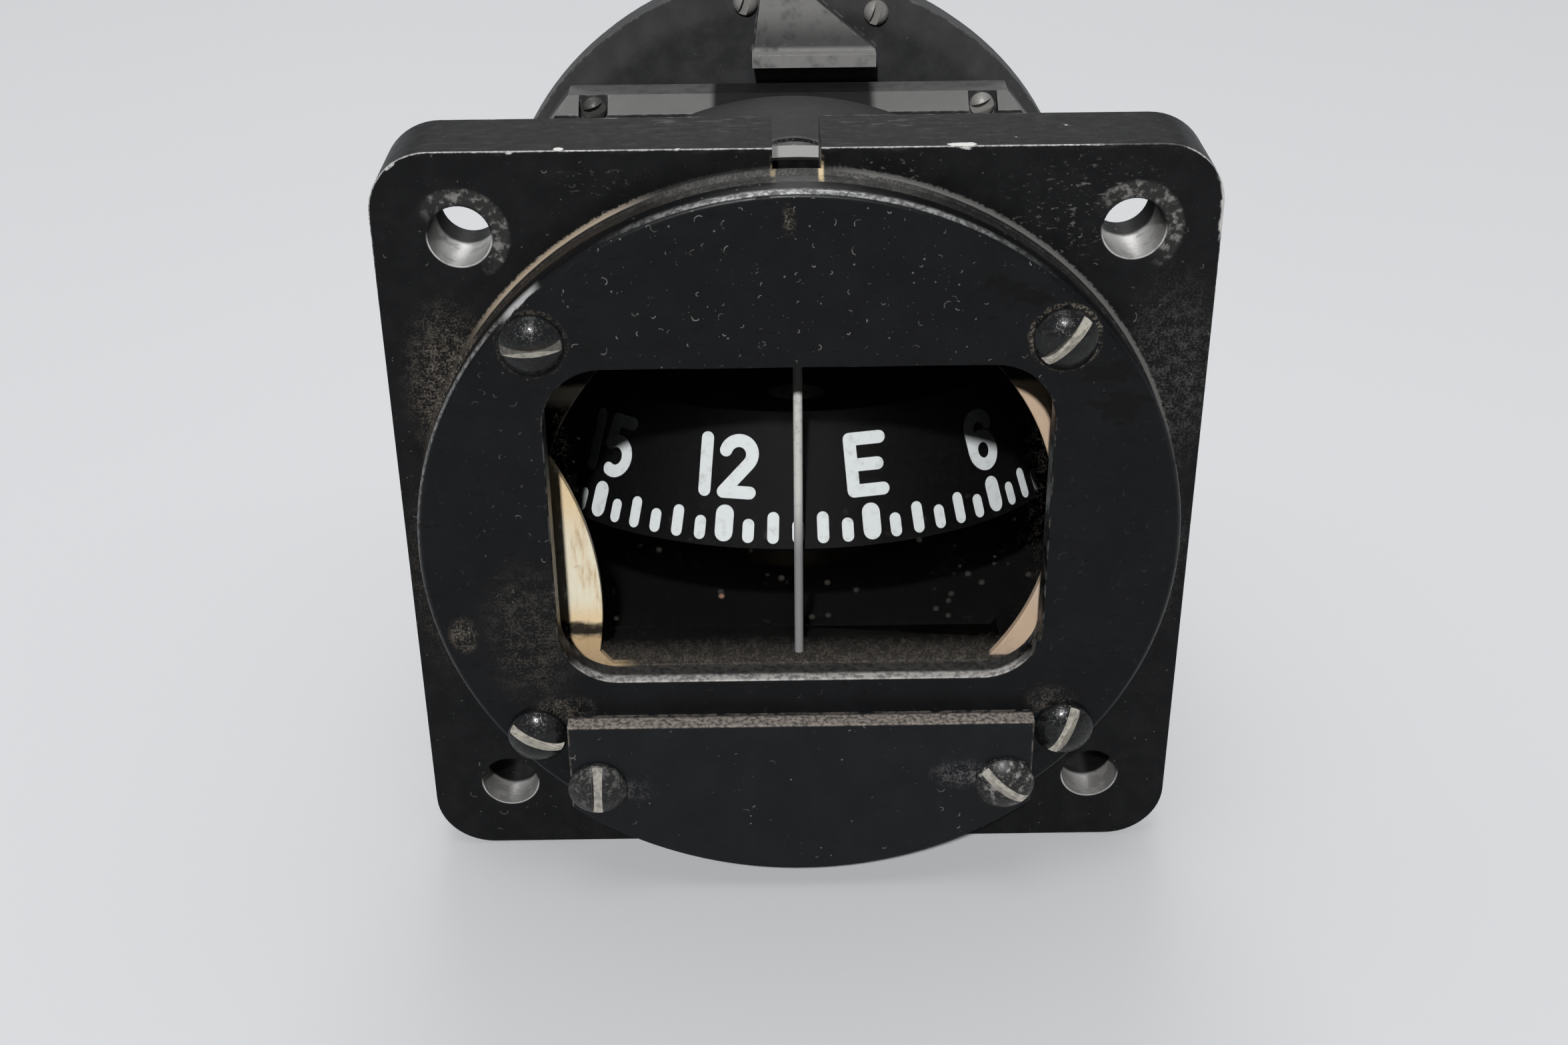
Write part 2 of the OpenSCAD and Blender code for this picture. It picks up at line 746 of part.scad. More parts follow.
module magnet_saddle() {
    saddle_r = card_magnet_offset + saddle_rim;
    color("#b08d4a") at_north() difference() {
        union() {
            intersection() {
                zcyl(saddle_r, saddle_low_z, float_low_z);
                cube([saddle_w, 4 * saddle_r, 4 * saddle_r], center = true);
            }
            for (s = [-1, 1])
                xcyl(saddle_clip_r, -saddle_clip_len / 2, saddle_clip_len / 2, s * card_magnet_offset, card_magnet_z);
        }
        for (s = [-1, 1])
            xcyl(card_magnet_r + fit, -saddle_clip_len, saddle_clip_len, s * card_magnet_offset, card_magnet_z);
        zcyl(tunnel_in_r + saddle_gap, saddle_low_z - cut, float_low_z + cut);
    }
}

module card_magnets() {
    color("#70757a") at_north() for (s = [-1, 1])
        xcyl(card_magnet_r, -card_magnet_len / 2, card_magnet_len / 2, s * card_magnet_offset, card_magnet_z);
}

module pivot_pin() {
    cone_h = pin_r / tan(pin_half_angle);
    head_z = float_top_z + fit;
    color("#9aa0a6") at_card() union() {
        translate([0, 0, pivot_z]) cylinder(r1 = 0, r2 = pin_r, h = cone_h);
        zcyl(pin_r, pivot_z + cone_h, head_z + pin_head_t);
        zcyl(pin_head_r, head_z, head_z + pin_head_t);
    }
}

function post_screw_places() = [
    for (i = [0:post_screw_count - 1])
        around(post_base_r - post_screw_inset, 360 * i / post_screw_count + post_screw_turn, card_y)
];

module post_housing() {
    color("#a88a4c") difference() {
        at_card() union() {
            zcyl(post_base_r, floor_z, floor_z + post_base_t);
            zcyl(post_r, floor_z, post_top_z);
        }
        at_card() zcyl(piston_r + fit, post_bore_low_z, post_top_z + cut);
        for (p = post_screw_places())
            zcyl(small_shank_r + loose, floor_z - cut, floor_z + post_base_t + cut, p[0], p[1]);
    }
}

module post_screws() {
    color("#9c9484") for (p = post_screw_places())
        translate([p[0], p[1], floor_z + post_base_t])
            slotted_screw(small_head_r, small_head_h, small_shank_r, post_base_t + post_screw_depth, 0);
}

module post_cap() {
    color("#a88a4c") at_card() difference() {
        zcyl(post_r, post_top_z, post_top_z + post_cap_t);
        zcyl(stem_r + fit, post_top_z - cut, post_top_z + post_cap_t + cut);
    }
}

// Coil spring under the stem, one unbroken tube
spring_low_z = post_bore_low_z + spring_wire_r + fit;
spring_high_z = post_top_z - piston_h - spring_wire_r - fit;
spring_count = spring_turns * spring_rings;
function spring_at(i) = [
    spring_r * cos(360 * i / spring_rings),
    spring_r * sin(360 * i / spring_rings),
    spring_low_z + (spring_high_z - spring_low_z) * i / spring_count
];
function spring_ring(i) = let (a = 360 * i / spring_rings) [
    for (k = [0:spring_sides - 1]) let (b = 360 * k / spring_sides)
        spring_at(i) + spring_wire_r * [cos(b) * cos(a), cos(b) * sin(a), sin(b)]
];

module post_spring() {
    n = spring_sides;
    points = [for (i = [0:spring_count]) each spring_ring(i)];
    sides = [
        for (i = [0:spring_count - 1], k = [0:n - 1]) let (a = i * n + k, b = i * n + (k + 1) % n)
            each [[a, a + n, b], [b, a + n, b + n]]
    ];
    low_end = [for (k = [1:n - 2]) [0, k, k + 1]];
    last = spring_count * n;
    high_end = [for (k = [1:n - 2]) [last, last + k + 1, last + k]];
    color("#8b9096") at_card() polyhedron(points, concat(sides, low_end, high_end));
}

module jewel_stem() {
    color("#a88a4c") at_card() difference() {
        union() {
            zcyl(piston_r, post_top_z - piston_h, post_top_z);
            zcyl(stem_r, post_top_z, stem_top_z);
        }
        zcyl(jewel_r + fit, jewel_low_z, stem_top_z + cut);
    }
}

module jewel() {
    cup_low_z = pivot_z - fit;
    cup_h = jewel_top_z - cup_low_z;
    color("#b03050") at_card() difference() {
        zcyl(jewel_r, jewel_low_z, jewel_top_z);
        translate([0, 0, cup_low_z]) cylinder(r1 = 0, r2 = 2 * cup_h, h = 2 * cup_h);
    }
}

// Spur gear outline with straight-sided teeth, the first tooth on +X
module gear_outline(teeth, root_r, tip_r, tooth_w) {
    circle(root_r);
    for (i = [0:teeth - 1]) rotate(360 * i / teeth)
        polygon([
            [0, -tooth_w * 0.65], [root_r, -tooth_w * 0.65], [tip_r, -tooth_w * 0.35],
            [tip_r, tooth_w * 0.35], [root_r, tooth_w * 0.65], [0, tooth_w * 0.65]
        ]);
}

module corrector_gear(turn) {
    linear_extrude(gear_t) rotate(turn)
        gear_outline(gear_teeth, gear_r - gear_root, gear_r + gear_tip, gear_tooth_w);
}

// Slotted head of an adjuster
module adjuster_head(x) {
    difference() {
        ycyl(adjuster_head_r, adjuster_front_y, adjuster_front_y + adjuster_head_t, x, shaft_z);
        translate([x - 2 * adjuster_head_r, adjuster_front_y - cut, shaft_z - slot_cut_w / 2])
            cube([4 * adjuster_head_r, slot_cut_d + cut, slot_cut_w]);
    }
}

// North-south shaft with its gear and its magnet hub, along Y
module ns_shaft(x, y0, turn) {
    difference() {
        union() {
            ycyl(shaft_r, y0, ns_rear_y + frame_t, x, shaft_z);
            translate([x, ns_gear_y + gear_t, shaft_z]) rotate([90, 0, 0]) corrector_gear(turn);
            ycyl(hub_r, ns_magnet_y - hub_len / 2, ns_magnet_y + hub_len / 2, x, shaft_z);
        }
        zcyl(corrector_magnet_r + fit, shaft_z - gear_r, shaft_z + gear_r, x, ns_magnet_y);
    }
}

module ns_magnet(x) {
    zcyl(corrector_magnet_r, shaft_z - corrector_magnet_len / 2, shaft_z + corrector_magnet_len / 2, x, ns_magnet_y);
}

module ns_adjuster() {
    color("#b0a16c") union() {
        ns_shaft(ns_x, adjuster_front_y + adjuster_head_t, 0);
        adjuster_head(ns_x);
    }
}

module ns_adjuster_magnet() {
    color("#70757a") ns_magnet(ns_x);
}

module ns_follower() {
    color("#b0a16c") ns_shaft(ns_follower_x, flange_t + fit, 180 / gear_teeth);
}

module ns_follower_magnet() {
    color("#70757a") ns_magnet(ns_follower_x);
}

module ew_adjuster() {
    color("#b0a16c") union() {
        adjuster_head(ew_x);
        ycyl(shaft_r, adjuster_front_y + adjuster_head_t, pinion_y + pinion_t, ew_x, shaft_z);
        translate([ew_x, pinion_y + pinion_t, shaft_z]) rotate([90, 0, 0])
            linear_extrude(pinion_t) gear_outline(pinion_teeth, pinion_root_r, pinion_tip_r, pinion_tooth_w);
    }
}

// East-west shaft with its gear and its magnet hub, along X
module ew_shaft(y, turn) {
    difference() {
        union() {
            xcyl(shaft_r, frame_side_l_x, frame_right_x, y, shaft_z);
            translate([ew_gear_x, y, shaft_z]) rotate([90, 0, 90]) corrector_gear(turn);
            xcyl(hub_r, ew_magnet_x - frame_side_t + fit, ew_magnet_x + 0.9, y, shaft_z);
        }
        zcyl(corrector_magnet_r + fit, shaft_z - gear_r, shaft_z + gear_r, ew_magnet_x, y);
    }
}

module ew_magnet(y) {
    zcyl(corrector_magnet_r, shaft_z - corrector_magnet_len / 2, shaft_z + corrector_magnet_len / 2, ew_magnet_x, y);
}

module ew_cross_shaft() {
    color("#b0a16c") union() {
        ew_shaft(ew_y, 0);
        xcyl(crown_r + crown_tooth_len / 2, crown_x, ew_gear_x, ew_y, shaft_z);
        for (i = [0:gear_teeth - 1]) translate([crown_x, ew_y, shaft_z]) rotate([360 * (i + 0.5) / gear_teeth, 0, 0])
            translate([-crown_tooth_h, crown_r - crown_tooth_len / 2, -crown_tooth_w / 2])
                cube([crown_tooth_h + crown_disc_t / 2, crown_tooth_len, crown_tooth_w]);
    }
}

module ew_cross_magnet() {
    color("#70757a") ew_magnet(ew_y);
}

module ew_follower() {
    color("#b0a16c") ew_shaft(ew_follower_y, 180 / gear_teeth);
}

module ew_follower_magnet() {
    color("#70757a") ew_magnet(ew_follower_y);
}

// Bracket that carries the corrector's shafts behind the front casting
module corrector_frame() {
    base_top_z = frame_base_z;
    plate_h = frame_top_z - base_top_z;
    bearing_h = shaft_z + frame_bearing_half - base_top_z;
    bore_r = shaft_r + bearing_fit;
    color("#8f7b45") difference() {
        union() {
            translate([frame_left_x, flange_t, base_top_z - frame_base_t])
                cube([frame_right_x - frame_left_x, frame_rear_y - flange_t, frame_base_t]);
            translate([frame_left_x, flange_t, base_top_z - frame_base_t])
                cube([frame_right_x - frame_left_x, frame_t, plate_h]);
            translate([frame_ear_x - 1.6, flange_t, shaft_z - frame_bearing_half])
                cube([6, frame_t, 2 * frame_bearing_half]);
            translate([frame_left_x, ns_rear_y, base_top_z - frame_base_t])
                cube([frame_side_l_x - frame_left_x, frame_t, bearing_h]);
            for (x = [frame_side_l_x, frame_side_r_x])
                translate([x, frame_side_y, base_top_z - frame_base_t])
                    cube([frame_side_t, frame_rear_y - frame_side_y, bearing_h]);
        }
        for (x = [ns_x, ns_follower_x])
            ycyl(bore_r, flange_t - cut, ns_rear_y + frame_t + cut, x, shaft_z);
        ycyl(bore_r, flange_t - cut, flange_t + frame_t + cut, ew_x, shaft_z);
        for (y = [ew_y, ew_follower_y])
            xcyl(bore_r, frame_side_l_x - cut, frame_right_x + cut, y, shaft_z);
        for (p = [frame_screw_l, frame_screw_r])
            ycyl(small_shank_r + loose, flange_t - cut, flange_t + frame_t + cut, p[0], p[1]);
    }
}

module corrector_screws() {
    color("#9c9484") for (p = [frame_screw_l, frame_screw_r])
        rear_screw(p, flange_t + frame_t, small_head_r, small_head_h, small_shank_r,
            frame_t + frame_screw_depth, 40);
}

front_casting();
bezel();
bezel_screws();
corrector_cover();
cover_screws();
window_glass();
bezel_gasket();
glass_seal();
lubber_line();
bowl();
bowl_gasket();
bowl_screws();
filler_plug();
filler_washer();
rear_gasket();
rear_plate();
rear_plate_screws();
diaphragm();
rear_housing();
rim_screws();
card();
float_shell();
float_lid();
magnet_saddle();
card_magnets();
pivot_pin();
post_housing();
post_screws();
post_cap();
post_spring();
jewel_stem();
jewel();
corrector_frame();
corrector_screws();
ns_adjuster();
ns_adjuster_magnet();
ns_follower();
ns_follower_magnet();
ew_adjuster();
ew_cross_shaft();
ew_cross_magnet();
ew_follower();
ew_follower_magnet();
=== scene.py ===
import json
import math

import bmesh
import bpy
from mathutils import Matrix, Vector

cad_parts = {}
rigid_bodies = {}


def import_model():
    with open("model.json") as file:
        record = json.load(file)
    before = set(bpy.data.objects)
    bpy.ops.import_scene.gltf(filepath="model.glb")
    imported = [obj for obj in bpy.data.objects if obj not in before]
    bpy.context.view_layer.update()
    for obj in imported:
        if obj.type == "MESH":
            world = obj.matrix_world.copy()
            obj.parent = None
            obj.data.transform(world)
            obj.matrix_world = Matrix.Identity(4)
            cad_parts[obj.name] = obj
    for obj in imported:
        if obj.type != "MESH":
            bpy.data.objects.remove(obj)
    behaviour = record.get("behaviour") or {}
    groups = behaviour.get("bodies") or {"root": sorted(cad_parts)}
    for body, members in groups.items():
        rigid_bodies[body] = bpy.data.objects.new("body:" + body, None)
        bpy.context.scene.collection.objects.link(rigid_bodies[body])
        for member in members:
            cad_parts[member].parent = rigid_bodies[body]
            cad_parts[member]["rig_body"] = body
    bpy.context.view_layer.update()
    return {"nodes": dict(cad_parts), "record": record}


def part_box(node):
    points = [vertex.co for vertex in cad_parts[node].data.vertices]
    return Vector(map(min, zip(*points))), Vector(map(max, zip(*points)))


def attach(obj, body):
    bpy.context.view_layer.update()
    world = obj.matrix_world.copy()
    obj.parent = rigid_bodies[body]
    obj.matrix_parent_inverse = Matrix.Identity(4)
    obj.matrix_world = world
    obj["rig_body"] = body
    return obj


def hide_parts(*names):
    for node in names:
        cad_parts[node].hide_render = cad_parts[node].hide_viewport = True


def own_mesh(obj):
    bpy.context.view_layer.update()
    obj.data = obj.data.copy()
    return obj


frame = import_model()
nodes = frame["nodes"]
mm = 0.001


class Shade:  # a socket that can be added, multiplied and so on
    def __init__(self, tree, socket=None):
        self.tree = tree
        self.socket = socket

    def add(self, kind, settings=None, sockets=None, out=0):
        node = self.tree.nodes.new(kind)
        for name, value in (settings or {}).items():
            setattr(node, name, value)
        for name, value in (sockets or {}).items():
            if isinstance(value, Shade):
                self.tree.links.new(value.socket, node.inputs[name])
            else:
                node.inputs[name].default_value = value
        return Shade(self.tree, node.outputs[out] if node.outputs else None)

    def twin(self, name):  # another output of the same node
        return Shade(self.tree, self.socket.node.outputs[name])

    def math(self, operation, first, second=0.0):
        return self.add("ShaderNodeMath", {"operation": operation}, {0: first, 1: second})

    def __add__(self, other):
        return self.math("ADD", self, other)

    def __sub__(self, other):
        return self.math("SUBTRACT", self, other)

    def __rsub__(self, other):
        return self.math("SUBTRACT", other, self)

    def __mul__(self, other):
        return self.math("MULTIPLY", self, other)

    def __truediv__(self, other):
        return self.math("DIVIDE", self, other)

    def __rtruediv__(self, other):
        return self.math("DIVIDE", other, self)

    def __abs__(self):
        return self.math("ABSOLUTE", self)

    __radd__ = __add__
    __rmul__ = __mul__


def fade(value, start, end):  # 0 at start, 1 at end
    return value.add("ShaderNodeMapRange", {"interpolation_type": "SMOOTHSTEP"},
                     {"Value": value, "From Min": start, "From Max": end})


def most(first, *others):  # the strongest of several masks
    for other in others:
        first = first.math("MAXIMUM", first, other)
    return first


def atLeast(low, mask):  # lifts a mask so that it never falls below low
    return low + (1 - low) * mask


def reach(first, second):  # length of two legs
    return first.math("SQRT", first * first + second * second)


def tint(mask, under, over):
    return mask.add("ShaderNodeMix", {"data_type": "RGBA"}, {0: mask, 6: under, 7: over}, 2)


def cloud(spot, perMm, detail=3.0, stretch=None):
    where = spot
    if stretch:
        where = spot.add("ShaderNodeMapping", None, {"Vector": spot, "Scale": stretch})
    return spot.add("ShaderNodeTexNoise", None,
                    {"Vector": where, "Scale": perMm, "Detail": detail, "Roughness": 0.6})


def blotch(spot, perMm, detail, start, end, stretch=None):  # ragged patches cut out of a cloud
    return fade(cloud(spot, perMm, detail, stretch), start, end)


def dots(spot, perMm, size, share):  # scattered round grains
    cell = spot.add("ShaderNodeTexVoronoi", None, {"Vector": spot, "Scale": perMm}, "Distance")
    pick = spot.add("ShaderNodeSeparateColor", None, {0: cell.twin("Color")})
    return fade(cell, size, size * 0.4) * fade(pick, 1 - share, 1.01 - share)


def facing(start, axis):  # how squarely the surface faces along an axis
    normal = start.add("ShaderNodeNewGeometry", None, None, "Normal")
    return start.add("ShaderNodeSeparateXYZ", None, {0: normal}, axis)


# short curled hairs lying on the front: most they turn, in radians, and their half width, in millimetres
hairShape = {"spin": 12.6, "edge": 0.055, "core": 0.015}


def lint(x, z, perMm, share, size):
    flat = x.add("ShaderNodeCombineXYZ", None, {0: x, 1: z})
    cell = x.add("ShaderNodeTexVoronoi", {"voronoi_dimensions": "2D"},
                 {"Vector": flat, "Scale": perMm}, "Position")
    pick = x.add("ShaderNodeSeparateColor", None, {0: cell.twin("Color")})
    inCell = x.add("ShaderNodeVectorMath", {"operation": "SUBTRACT"}, {0: flat, 1: cell})
    u = x.add("ShaderNodeSeparateXYZ", None, {0: inCell})
    v = u.twin("Y")
    turn = x.math("COSINE", x.math("ARCTAN2", v, u) + pick.twin("Blue") * hairShape["spin"])
    curl = abs(reach(u, v * (0.7 + pick.twin("Blue"))) - size * (0.5 + pick.twin("Green")))
    front = fade(facing(x, "Y"), -0.8, -0.95)
    thread = fade(curl, hairShape["edge"], hairShape["core"]) * fade(turn, 0.15, 0.45)
    return front * thread * fade(pick, 1 - share, 1.01 - share)


def dustGrain(spot):  # fine settled dust, clumped
    return fade(cloud(spot, 5.5, 3.0) * 0.6 + cloud(spot, 1.3, 4.0) * 0.4, 0.45, 0.63)


def patch(x, z, atX, atZ, wide, tall):  # soft oval on the front
    return fade(reach((x - atX) / wide, (z - atZ) / tall), 1.0, 0.25)


def patches(x, z, ovals):  # several of them: place, half sizes and strength
    return most(*[patch(x, z, *oval[:4]) * oval[4] for oval in ovals])


def edges(start, radius):  # 1 along convex and concave edges
    soft = start.add("ShaderNodeBevel", {"samples": 4}, {"Radius": radius * mm})
    hard = start.add("ShaderNodeNewGeometry", None, None, "True Normal")
    same = start.add("ShaderNodeVectorMath", {"operation": "DOT_PRODUCT"}, {0: soft, 1: hard}, "Value")
    return fade(same, 0.99, 0.86)


def newSkin(name):  # material, first socket, place in millimetres, and its x, y, z
    mat = bpy.data.materials.new(name)
    mat.use_nodes = True
    mat.node_tree.nodes.clear()
    start = Shade(mat.node_tree)
    place = start.add("ShaderNodeTexCoord", None, None, "Object")
    spot = start.add("ShaderNodeVectorMath", {"operation": "SCALE"}, {0: place, "Scale": 1 / mm})
    x = start.add("ShaderNodeSeparateXYZ", None, {0: spot})
    return mat, start, spot, x, x.twin("Y"), x.twin("Z")


def bump(start, height, depth, strength=0.6):
    return start.add("ShaderNodeBump", None, {"Strength": strength, "Distance": depth * mm, "Height": height})


def closeSkin(mat, start, sockets):
    surface = start.add("ShaderNodeBsdfPrincipled", None, sockets)
    start.add("ShaderNodeOutputMaterial", None, {"Surface": surface})
    return mat


def wornPaint(spot, x, z, finish, spread=1.0):  # black paint with grain, specks and hairs
    colour = tint(blotch(spot, finish["mottle"], 5.0, 0.35, 0.7), finish["dark"], finish["light"])
    grainShare, hairShare = finish["grainShare"], finish["hairShare"]
    grains = most(dots(spot, finish["grains"], 0.13, grainShare),
                  dots(spot, finish["grains"] * 2.3, 0.16, grainShare) * 0.6) * spread
    hairs = most(lint(x, z, 0.45, hairShare, 0.24), lint(x, z, 0.8, hairShare * 0.6, 0.13)) * spread
    fine = cloud(spot, 14.0, 2.0)
    colour = tint(grains * 0.5, colour, finish["speck"])
    colour = tint(hairs * blotch(spot, 1.1, 3.0, 0.3, 0.7) * 0.75, colour, finish["speck"])
    rough = finish["rough"] + (cloud(spot, 1.3, 3.0) - 0.5) * 0.22 + hairs * 0.2
    return colour, rough, fine * 0.5 + hairs + grains * 0.6


# flange: worn top edge, rubbed rings round the upper holes, dust beside the bezel
flangeFinish = {
    "dark": (0.0034, 0.0036, 0.004, 1), "light": (0.0074, 0.0076, 0.0082, 1), "speck": (0.2, 0.195, 0.18, 1),
    "mottle": 0.5, "grains": 1.7, "grainShare": 0.14, "hairShare": 0.12,
    "rough": 0.42, "gloss": 0.13, "relief": 0.02,
    "metal": (0.68, 0.67, 0.65, 1), "dust": (0.4, 0.325, 0.24, 1), "grey": (0.23, 0.225, 0.215, 1),
    "cream": (0.6, 0.48, 0.3, 1), "floor": (0.36, 0.36, 0.365, 1), "inside": (0.002, 0.002, 0.0021, 1),
    # the square outline, the panel holes, the slot and the tunnel, in millimetres
    "half": 30.0, "corner": 4.5, "thick": 7.0, "holeAt": 23.8, "holeR": 2.28, "ringR": 2.95,
    "slotHalf": 1.95, "slotFloor": 25.1, "tunnelR": 20.8,
    # soft ovals: x, z, half width, half height, strength; the nicks lie along the top edge, at x and y
    "scuffs": [(20.5, 25.5, 7.5, 5.0, 1.0), (6.0, 28.3, 5.0, 1.2, 1.0), (-14.0, 27.8, 4.0, 1.6, 0.5)],
    "haze": [(-25.4, 12.0, 4.2, 8.5, 0.5), (27.3, 12.0, 5.0, 11.0, 0.3), (-27.0, -4.0, 4.0, 12.0, 0.2),
             (27.6, -3.0, 3.6, 9.0, 0.2)],
    "nicks": [(11.5, 0.35, 1.4, 0.55, 1.0), (-16.5, 0.3, 0.5, 0.5, 1.0)],
}


def flangePaint(finish):
    mat, start, spot, x, y, z = newSkin("flangePaint")
    colour, rough, height = wornPaint(spot, x, z, finish)
    wide, tall = abs(x), abs(z)
    uneven = cloud(spot, 0.8, 5.0)
    coarse = cloud(spot, 0.26, 3.0)
    # depth inside the square outline with its round corners
    straight = finish["half"] - finish["corner"]
    outline = finish["corner"] - reach(most(wide - straight, 0.0), most(tall - straight, 0.0))
    radius = reach(x, z)
    top = fade(z, 16.0, 28.5)
    # top face, scraped lengthwise, with more dust behind, beside the slot
    topFace = fade(z, 29.5, 29.9)
    settled = fade(y, 2.5, 6.5) * fade(abs(wide - 7.0), 6.0, 2.0)
    streaks = blotch(spot, 1.6, 5.0, 0.5, 0.75, (0.3, 1.2, 1.0))
    colour = tint(topFace * streaks * (0.1 + settled * 0.3), colour, finish["grey"])
    grit = most(dots(spot, 2.6, 0.2, 0.35), blotch(spot, 2.2, 5.0, 0.57, 0.68, (0.6, 1.0, 1.3)))
    colour = tint(patches(x, z, finish["scuffs"]) * grit * 0.55, colour, finish["grey"])
    # dust beside the bezel, in the corner of the collar, on its face and on its top; tan at the upper left
    dusty = dustGrain(spot)
    ragged = (cloud(spot, 3.5, 4.0) - 0.5) * 0.5
    corner = fade(radius + ragged, 28.85, 28.62) * fade(y, -0.16, -0.08) * fade(z, -2.0, 12.0)
    face = fade(radius, 29.0, 28.6) * fade(y, -0.1, -0.3) * fade(z, 8.0, 16.0) * (0.05 + 0.1 * dusty)
    crown = fade(wide, 13.0, 6.0) * fade(z, 20.0, 26.0) * fade(radius, 28.8, 28.4) * (0.2 + 0.3 * dusty)
    tan = fade(abs(x + 17.0), 8.0, 3.5) * fade(z, 13.0, 18.0)
    haze = most(patches(x, z, finish["haze"]) * dusty,
                corner * (0.12 + fade(x, 1.0, 5.0) * 0.5 + tan * 0.88), crown, face)
    dustColour = tint(atLeast(0.45, fade(x, -18.0, -6.0)) - corner * tan * 0.45, finish["dust"], finish["grey"])
    colour = tint(haze * 0.85, colour, dustColour)
    # rubbed rings round the upper panel holes
    holeX, holeZ = wide - finish["holeAt"], tall - finish["holeAt"]
    holeR = reach(holeX, holeZ)
    rightward = x + finish["holeAt"] - fade(x, -1.0, 1.0) * (2 * finish["holeAt"])
    ring = fade(abs(holeR - finish["ringR"]), 0.75, 0.4) * fade(z, 0.0, 10.0) * fade(rightward + holeZ, -1.6, 1.5)
    colour = tint(ring * (0.1 + 0.8 * blotch(spot, 1.4, 5.0, 0.48, 0.64)), colour, finish["grey"])
    # bare metal: broken front edge, two nicks, the right corner and the rear edge
    chips = blotch(spot, 0.33, 2.0, 0.6, 0.66)
    line = top * 0.07 + (uneven - 0.5) * 0.2 + chips * 0.14 * top
    bare = fade(most(outline, y) - line, 0.04, -0.04) * atLeast(0.25, top)
    bare = bare * atLeast(0.5, blotch(spot, 3.2, 3.0, 0.38, 0.58))
    bare = bare * (1 - 0.8 * fade(x, 19.0, 23.0) * fade(x, 28.6, 27.4) * topFace)
    nicks = patches(x, y, finish["nicks"]) * topFace
    worn = fade(outline + (uneven - 0.5) * 0.9, 0.3, 0.12) * fade(y, 0.7, 0.3)
    worn = worn * fade(abs(z - 25.2), 2.6, 1.6) * fade(x, 20.0, 25.0)
    rearEdge = fade(most(outline, finish["thick"] - y) - (uneven - 0.5) * 0.6, 0.08, -0.05) * 0.5
    bare = most(bare, fade(nicks + (uneven - 0.5) * 1.6, 0.3, 0.5), worn * 0.85,
                rearEdge * fade(coarse, 0.45, 0.6))
    # and the lower half of the bores near the front: bare metal only where light falls on it, painted shade
    # keeping the upper half and the deep part black
    under = fade(holeZ * (fade(z, -1.0, 1.0) * 2 - 1), 0.5, -0.9)
    bore = fade(holeR, finish["holeR"] + 0.12, finish["holeR"])
    shown = fade(y + fade(z, 1.0, -1.0) * 1.6, 4.7, 4.0) * atLeast(0.6, fade(uneven, 0.35, 0.5))
    bare = most(bare, bore * under * shown)
    colour = tint(bare, colour, finish["metal"])
    # slot in the top edge: pale floor, a cream remnant on its walls
    inSlot = fade(wide, finish["slotHalf"], finish["slotHalf"] - 0.2)
    slotFloor = inSlot * fade(z, finish["slotFloor"] + 0.2, finish["slotFloor"]) * fade(z, 24.5, 24.8)
    colour = tint(slotFloor * 0.75, colour, finish["floor"])
    remnant = inSlot * (fade(x, 1.4, 1.6) + fade(x, -1.4, -1.6) * 0.35) * fade(y, 3.4, 1.2) * fade(z, 29.6, 29.0)
    colour = tint(remnant * fade(uneven, 0.34, 0.5), colour, finish["cream"])
    tunnel = fade(radius, finish["tunnelR"] + 0.4, finish["tunnelR"]) * fade(y, -1.9, -1.7)
    colour = tint(tunnel, colour, finish["inside"])
    rough = rough + haze * 0.35 - bare * 0.08 + topFace * 0.12 + tunnel * 0.4
    turned = cloud(spot, 1.0, 2.0, (0.2, 9.0, 0.2))  # tool rings in the bores
    height = height + bare * 0.5 + turned * bore * 2.0
    return closeSkin(mat, start, {"Base Color": colour, "Roughness": rough, "Metallic": bare * 0.8,
                                  "Specular IOR Level": finish["gloss"],
                                  "Normal": bump(start, height, finish["relief"])})


# bezel: darker and smoother, rim rubbed through at the top with a painted highlight line there, pale sill under
# the window, part dust and part painted light
bezelFinish = {
    "dark": (0.003, 0.0033, 0.0038, 1), "light": (0.0052, 0.0056, 0.0064, 1), "speck": (0.3, 0.295, 0.28, 1),
    "mottle": 0.32, "grains": 1.25, "grainShare": 0.24, "hairShare": 0.42,
    "rough": 0.34, "gloss": 0.15, "relief": 0.015,
    "metal": (0.68, 0.68, 0.68, 1), "dust": (0.33, 0.29, 0.24, 1),
    "sillDustAndLight": (0.5, 0.48, 0.46, 1), "fresh": (0.0012, 0.0012, 0.0013, 1),
    # window: half width and half height up to its round corners, their radius, and its middle; then rim and screws
    "windowX": 13.95, "windowZ": 8.75, "windowR": 4.5, "windowMid": 2.05,
    "rimR": 28.16, "headX": 18.77, "headZ": 17.4, "headR": 2.45,
    "haze": [(-0.6, 26.4, 0.6, 1.5, 0.7), (-25.6, -6.8, 1.4, 2.0, 0.8), (-20.5, -7.0, 4.5, 8.0, 0.25),
             (-18.4, -13.6, 3.0, 1.6, 0.5), (19.4, -13.4, 2.4, 1.6, 0.4)],
    "touched": [(22.1, 14.6, 2.8, 1.3, 1.0), (23.0, 11.9, 2.8, 1.9, 1.0)],
}


